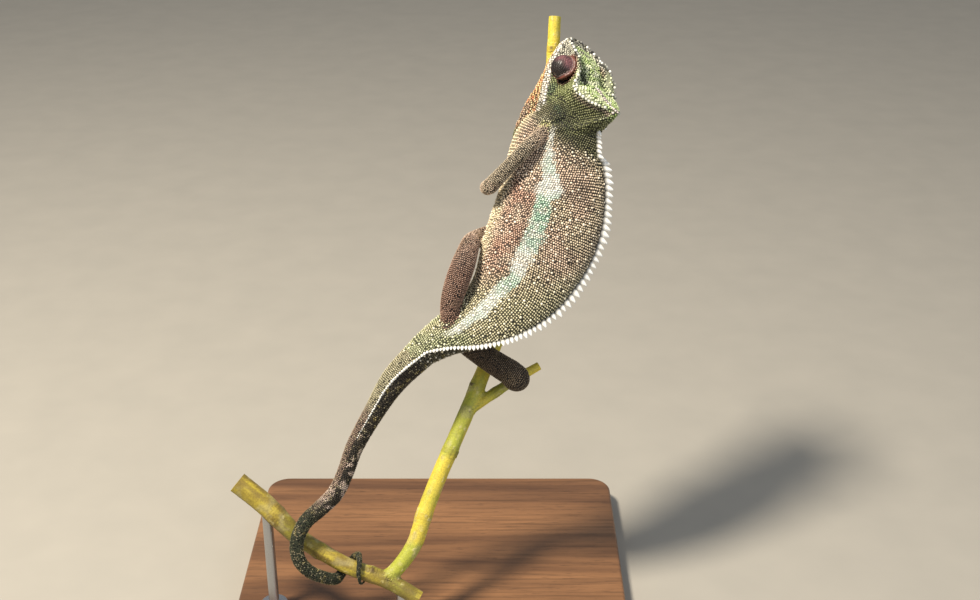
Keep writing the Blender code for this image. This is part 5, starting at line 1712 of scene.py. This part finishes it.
# %% Claws
claw_horn, tree, shader = finish("claw_horn")
worn = spread(tree, stored(tree, "rise"), 0.0, 1.0, 0.2, 0.95)
colour = blend(tree, worn, rgba("#2f251b"), rgba("#b59f7c"))
feed(tree, shader, {"Base Color": colour, "Roughness": 0.3,
                    "Normal": bumped(tree, noise(tree, 0.3, 2.0), 0.03, 0.4)})
claw_grids, claw_rise = [], []
for root, bend, tip, radius in claws:
    t = np.linspace(0, 1, 8)[:, None]
    line = root * (1 - t) ** 2 + 2 * bend * t * (1 - t) + tip * t ** 2
    thick = radius * (1 - t[:, 0]) ** 0.75 * 0.92 + 0.05
    way = unit(np.gradient(line, axis=0))
    up = unit(np.cross(way, np.cross(bend - root, tip - bend) + 1e-6))
    side = np.cross(way, up)
    turn = turns(10)[:, None]
    round_it = up[:, None] * np.cos(turn) + side[:, None] * np.sin(turn) * 0.8
    claw_grids.append(line[:, None] + thick[:, None, None] * round_it)
    claw_rise += np.repeat(t[:, 0], 10).tolist() + [0.0, 1.0]       # the last two close its ends
verts, faces = capped(claw_grids)
claw_set = mesh_from("claws", to_world(verts), faces)
store(claw_set.data, "rise", "FLOAT", claw_rise)
claw_set.data.materials.append(claw_horn)
print("claws:", len(claws))

# %% [markdown]
# ## The cut branch
# The perch is a fresh cut length of shrub: smooth green-yellow bark, browner on the old branch, with swollen
# nodes, leaf scars and raised pores. Its three lengths are fused so that the forks have real collars. The
# ends are then sawn square, so they show pale wood.

# %% Bark
BARK_GRAIN = 0.9            # grain at which the three lengths are fused, mm
WOOD_AROUND = 30
SAW_SPARE = 4.0             # wood left past each sawn end until it is cut, mm
WOOD = {"branch": (BRANCH, 70), "stem": (STEM, 190), "twig": (TWIG, 34)}
NODE_GAP = {"branch": 33.0, "stem": 41.0, "twig": 19.0}
wood_grids, saw_cuts = [], []
for name, (rows, count) in WOOD.items():
    line = spline(rows, count)
    ways = unit(np.gradient(line[:, :3], axis=0))
    # the stem and the twig start inside another length, so only the branch is sawn at both ends
    for end, sign in ((0, -1), (-1, 1)):
        if end == -1 or name == "branch":
            saw_cuts.append((line[end, :3].copy(), ways[end] * sign))
            line[end, :3] += ways[end] * sign * SAW_SPARE
    turn = turns(WOOD_AROUND)
    grid = []
    for (*at, radius), way, up in zip(line, ways, ups_along(ways)):
        side = np.cross(way, up)
        grid.append(at + radius * (up * np.cos(turn)[:, None] + side * np.sin(turn)[:, None]))
    wood_grids.append((np.array(grid), lengths(line[:, :3]), np.degrees(turn)))
verts, faces = capped([grid for grid, run, turn in wood_grids])
perch = mesh_from("perch_bark", to_world(verts), faces)
fuse(perch, BARK_GRAIN, 4)
on_bark = charted(wood_grids)


def node_marks(kind, run, turn):
    """Share of node swelling and of leaf scar at places on the bark."""
    gap = np.choose(kind, list(NODE_GAP.values()))
    index = np.round(run / gap)
    off = run - index * gap
    swelling = np.exp(-(off / 3.2) ** 2)
    faced = (index * 137.5) % 360
    round_off = np.abs((turn - faced + 180) % 360 - 180) / 57.3 * 4.5
    scar = np.hypot(off / 1.3, round_off / 1.9)
    return swelling, scar


def pore_marks(kind, run, turn):
    return ramp(mottle(np.column_stack((run, turn / 12, kind * 40.0)), 2.2, 24), 0.80, 0.92)


bark_plane = to_plane(points_of(perch.data))
kind, run, turn = on_bark(bark_plane)
swelling, scar = node_marks(kind, run, turn)
bark_move = 0.30 * swelling + 0.55 * np.exp(-(scar / 1.15) ** 2)
bark_move -= 0.35 * np.exp(-(scar / 0.5) ** 2)
bark_move += 0.16 * (mottle(bark_plane, 5, 22) - 0.5) + 0.10 * (mottle(bark_plane, 1.9, 23) - 0.5)
bark_move += 0.12 * pore_marks(kind, run, turn) - 0.12
set_points(perch.data, to_world(bark_plane + way_to_plane(normals_of(perch.data)) * bark_move[:, None]))

# %% Saw the ends
SAW_REACH = 0.016           # how far from a cut the saw bites, metres
bm = bmesh.new()
bm.from_mesh(perch.data)
for at, way in saw_cuts:
    at, way = Vector(to_world(at)), Vector(way_to_world(way))
    near = [v for v in bm.verts if (v.co - at).length < SAW_REACH]
    edges = dict.fromkeys(e for v in near for e in v.link_edges)
    local_faces = dict.fromkeys(f for v in near for f in v.link_faces)
    bmesh.ops.bisect_plane(bm, geom=[*near, *edges, *local_faces], dist=1e-7, plane_co=at, plane_no=way)
    beyond = [v for v in bm.verts if (v.co - at).dot(way) > 1e-6 and (v.co - at).length < 1.25 * SAW_REACH]
    bmesh.ops.delete(bm, geom=beyond, context="VERTS")
    made = bmesh.ops.holes_fill(bm, edges=[e for e in bm.edges if e.is_boundary], sides=0)
    for face in made["faces"]:
        face.material_index = 1
        face.smooth = False
bmesh.ops.triangulate(bm, faces=[f for f in bm.faces if len(f.verts) > 4])
bmesh.ops.recalc_face_normals(bm, faces=bm.faces[:])
bm.to_mesh(perch.data)
bm.free()
perch.data.update()
print("perch:", len(perch.data.polygons), "faces, sawn ends:", len(saw_cuts))

# %% Colours of the bark
bark_plane = to_plane(points_of(perch.data))
kind, run, turn = on_bark(bark_plane)
swelling, scar = node_marks(kind, run, turn)
streak = mottle(np.column_stack((run / 7, turn / 20, kind * 9.0)), 1.0, 25)
patch = mottle(bark_plane, 16, 26)
old_wood = kind == list(WOOD).index("branch")
bark = Layers(len(run), "bark_yellow")
bark.lay("bark_green", 0.75 * ramp(patch + 0.3 * streak, 0.5, 0.85))
bark.lay("bark_brown", 0.7 * old_wood * ramp(streak + 0.4 * patch, 0.35, 0.8))
bark.lay("bark_brown", 0.35 * old_wood + 0.25 * ramp(streak, 0.6, 0.9))
bark.lay("bark_grey", 0.4 * ramp(mottle(bark_plane, 4, 27), 0.6, 0.85))
bark.lay("bark_brown", 0.5 * ramp(swelling, 0.3, 0.9) * streak)
bark.lay("bark_pore", 0.6 * pore_marks(kind, run, turn))
bark.lay("bark_scar", 0.85 * ramp(scar, 1.0, 0.55))
store_rgb(perch.data, "bark_tint", bark.rgb)

# green_bark: living bark, waxy and slightly satin, with a fine grain
green_bark, tree, shader = finish("green_bark")
grain = noise(tree, 0.8, 4.0)
feed(tree, shader, {
    "Base Color": shaded(tree, stored(tree, "bark_tint", "Color"), spread(tree, grain, 0.75, 1.2, 0.3, 0.7)),
    "Roughness": spread(tree, grain, 0.45, 0.7, 0.3, 0.7), "Normal": bumped(tree, grain, 0.12, 0.5)})
# sawn_wood: pale young wood with a rough face
sawn_wood, tree, shader = finish("sawn_wood")
fibre = noise(tree, 0.7, 3.0, distortion=0.6)
colour = blend(tree, spread(tree, fibre, 0.0, 1.0, 0.35, 0.65), rgba("#d9c591"), rgba("#b79b63"))
feed(tree, shader, {"Base Color": colour, "Roughness": 0.75, "Normal": bumped(tree, fibre, 0.08, 0.6)})
perch.data.materials.clear()
perch.data.materials.append(green_bark)
perch.data.materials.append(sawn_wood)
print("bark tinted at", len(bark.rgb), "places")

# %% [markdown]
# ## Display stand
# The base is a plain block of oiled walnut with rounded corners and a soft upper edge. Two short brushed
# steel rods stand on it, each with a turned foot held by three small screws, and each cut to fit under the
# branch.

# %% Base
base_low, base_high = (np.array(corner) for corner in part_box("stand_base"))
BASE = base_high - base_low
CORNER, EDGE = 14.0 * MM, 2.0 * MM
layers = [(0.8 * MM, 0.0), (0.0, 0.8 * MM)]
for a in np.radians(np.linspace(0, 90, 7)):
    layers.append((EDGE * (1 - math.cos(a)), BASE[2] - EDGE + EDGE * math.sin(a)))
rings = []
for inset, height in layers:
    ring = []
    for cx, cy, start in ((1, 1, 0), (-1, 1, 90), (-1, -1, 180), (1, -1, 270)):
        for a in np.radians(np.linspace(start, start + 90, 12)):
            radius = CORNER - inset
            ring.append(((BASE[0] / 2 - CORNER) * cx + radius * math.cos(a),
                         (BASE[1] / 2 - CORNER) * cy + radius * math.sin(a), height))
    rings.append(ring)
rings = np.array(rings)
around = rings.shape[1]
verts = rings.reshape(-1, 3)
faces = grid_faces(len(rings), around).tolist()
faces.append(tuple(range(around)))
faces.append(tuple(range((len(rings) - 1) * around, len(rings) * around)))
base = mesh_from("base_block", verts, faces)
base.data.set_sharp_from_angle(angle=math.radians(40))

# oiled_walnut: brown heartwood, straight grain with long dark lines and open pores, satin from oil
oiled_walnut, tree, shader = finish("oiled_walnut")
wave = noise(tree, 26.0, 3.0, (0.10, 1, 1), 0.8)
lines = noise(tree, 2.2, 4.0, (0.035, 1, 1), 0.3)
pore = noise(tree, 0.55, 2.0, (0.06, 1, 1))
colour = blend(tree, spread(tree, wave, 0.0, 1.0, 0.35, 0.65), rgba("#5d3f28"), rgba("#8a6240"))
colour = blend(tree, spread(tree, lines, 0.0, 0.55, 0.5, 0.72), colour, rgba("#3d2817"))
colour = blend(tree, spread(tree, pore, 0.0, 0.6, 0.6, 0.72), colour, rgba("#2a1a0f"))
feed(tree, shader, {"Base Color": colour, "Roughness": spread(tree, lines, 0.36, 0.5, 0.3, 0.7),
                    "Normal": bumped(tree, pore, -0.06, 0.5)})
base.data.materials.append(oiled_walnut)
print("base", [round(s / MM, 1) for s in BASE], "mm")

# %% Rods and their screws
# brushed_steel: stainless rod brushed round its axis, so light drags across it
brushed_steel, tree, shader = finish("brushed_steel")
drag = noise(tree, 0.25, 2.0, (1, 1, 12))
feed(tree, shader, {
    "Base Color": blend(tree, spread(tree, drag, 0.0, 1.0, 0.3, 0.7), rgba("#a3a5a8"), rgba("#c2c3c5")),
    "Metallic": 1.0, "Roughness": spread(tree, drag, 0.26, 0.42, 0.3, 0.7),
    "Normal": bumped(tree, drag, 0.01, 0.4)})

ROD_RADIUS = 3.0            # mm, as are the sizes below
FOOT_HEIGHT = 3.0
COLLAR_TOP = 4.0            # where the foot has run out into the rod
SCREW_CIRCLE = 5.6
# radius and height over the foot, round a screw's head and down into its recess
SCREW = ((1.25, -0.3), (1.25, 0.28), (1.05, 0.5), (0.62, 0.55), (0.58, 0.12))
bark_tree = BVHTree.FromObject(perch, bpy.context.evaluated_depsgraph_get())


def lathe(x, y, floor, outline, around):
    """Round upright grid in metres through (radius, height over the floor) pairs in mm."""
    turn = turns(around)
    return np.array([np.column_stack((x + r * MM * np.cos(turn), y + r * MM * np.sin(turn),
                                      np.full(around, floor + h * MM))) for r, h in outline])


def steel(name, grids):
    verts, faces = capped(grids)
    piece = mesh_from(name, verts, faces)
    piece.data.set_sharp_from_angle(angle=math.radians(35))
    piece.data.materials.append(brushed_steel)
    return piece


def turned_rod(name):
    """A rod with its foot, its top ring lifted until it meets the bark, and the foot's screws."""
    low, high = (np.array(corner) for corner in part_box(name))
    x, y = (low[:2] + high[:2]) / 2
    foot = (high[0] - low[0]) / 2 / MM
    grid = lathe(x, y, low[2], ((foot, 0), (foot, 2.2), (foot - 0.25, 2.7), (foot - 0.8, FOOT_HEIGHT),
                                (ROD_RADIUS + 0.9, FOOT_HEIGHT), (ROD_RADIUS + 0.25, 3.3),
                                (ROD_RADIUS, COLLAR_TOP)), 48)
    top = grid[-1].copy()
    for spot in top:
        hit = bark_tree.ray_cast(Vector(spot), Vector((0, 0, 1)))[0]
        spot[2] = (hit.z - 0.1 * MM) if hit else high[2] - 1 * MM
    screws = [lathe(x + SCREW_CIRCLE * MM * math.cos(a), y + SCREW_CIRCLE * MM * math.sin(a),
                    low[2] + FOOT_HEIGHT * MM, SCREW, 24) for a in np.radians((90, 210, 330))]
    return steel(name + "_turned", [np.concatenate((grid, top[None]))]), steel(name + "_screws", screws)


rods = {name: turned_rod(name) for name in ("stand_rod_left", "stand_rod_right")}
print("rods:", len(rods), "with three screws each")

# %% [markdown]
# ## Studio
# A pale sweep of paper under plain soft light: one large lamp high on the left, a weak wide one on the right,
# and a pale room all round.

# %% Floor, lamps and room
bpy.ops.mesh.primitive_plane_add(size=12.0, location=(0, 0, -0.0002))
floor_sheet = bpy.context.object
floor_sheet.name = "floor_sheet"
pale_paper, tree, shader = finish("pale_paper")
feed(tree, shader, {"Base Color": blend(tree, noise(tree, 40.0, 2.0), rgba("#9d9990"), rgba("#a7a298")),
                    "Roughness": 0.9})
floor_sheet.data.materials.append(pale_paper)


def lamp(name, at, aim, size, watts, colour):
    light = bpy.data.lights.new(name, "AREA")
    light.shape = "DISK"
    light.size = size
    light.energy = watts
    light.color = linear(colour)
    obj = placed(name, light)
    obj.location = at
    obj.rotation_euler = (Vector(aim) - Vector(at)).to_track_quat("-Z", "Y").to_euler()


middle = (0.02, 0.0, 0.2)
lamp("key_lamp", (-0.66, -0.36, 1.5), middle, 0.3, 46.0, "#fff4e2")
lamp("fill_lamp", (0.9, -1.0, 0.7), middle, 0.9, 5.0, "#e8f0ff")
room = bpy.data.worlds.new("room")
room.use_nodes = True
room.node_tree.nodes["Background"].inputs["Color"].default_value = rgba("#e9edf2")
room.node_tree.nodes["Background"].inputs["Strength"].default_value = 0.42
bpy.context.scene.world = room
bpy.context.scene.view_settings.view_transform = "Standard"

# %% [markdown]
# ## Riding on the body
# Every piece rides on the one body of this still model, and the solids it stands for are hidden. The guides
# used to make the beads are removed.

# %% Ride and replace
for guide in (bead, plate, spine):
    bpy.data.objects.remove(guide)
flesh_nodes = ["head", "lower_jaw", "chest", "belly", "pelvis", "tail_root", "tail_middle", "tail_coil"]
for side in ("left", "right"):
    for part in ("upper_arm", "forearm", "forefoot", "thigh", "shin", "hindfoot"):
        flesh_nodes.append(f"{part}_{side}")
# each piece, with the solids it stands for and its slot
standing_for = {skin: (flesh_nodes, "skin_flank"),
                perch: (["perch_branch", "perch_stem", "perch_twig"], "bark"),
                base: (["stand_base"], "stand_wood")}
for name, (rod, screw_set) in rods.items():
    standing_for[rod] = ([name], "stand_steel")
    standing_for[screw_set] = ([], "stand_steel")
for name, (turret, *others) in eyes.items():
    standing_for[turret] = ([name], "eye_lid")
    for part in others:
        standing_for[part] = ([], "eye_lid")
coat_slots = {"scales_head": "skin_head", "scales_tail": "skin_tail", "scales_legs_left": "skin_limb",
              "scales_legs_right": "skin_limb"}
for piece in coat:
    standing_for[piece] = ([], coat_slots.get(piece.name, "skin_flank"))
standing_for[crest] = ([], "skin_flank")
standing_for[throat] = ([], "skin_head")
standing_for[claw_set] = ([], "skin_limb")
for piece, (solids, slot) in standing_for.items():
    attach(piece, "root")
    if solids:
        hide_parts(*solids)
print("pieces:", len(standing_for), "triangles:", sum(triangles_of(piece.data) for piece in standing_for))
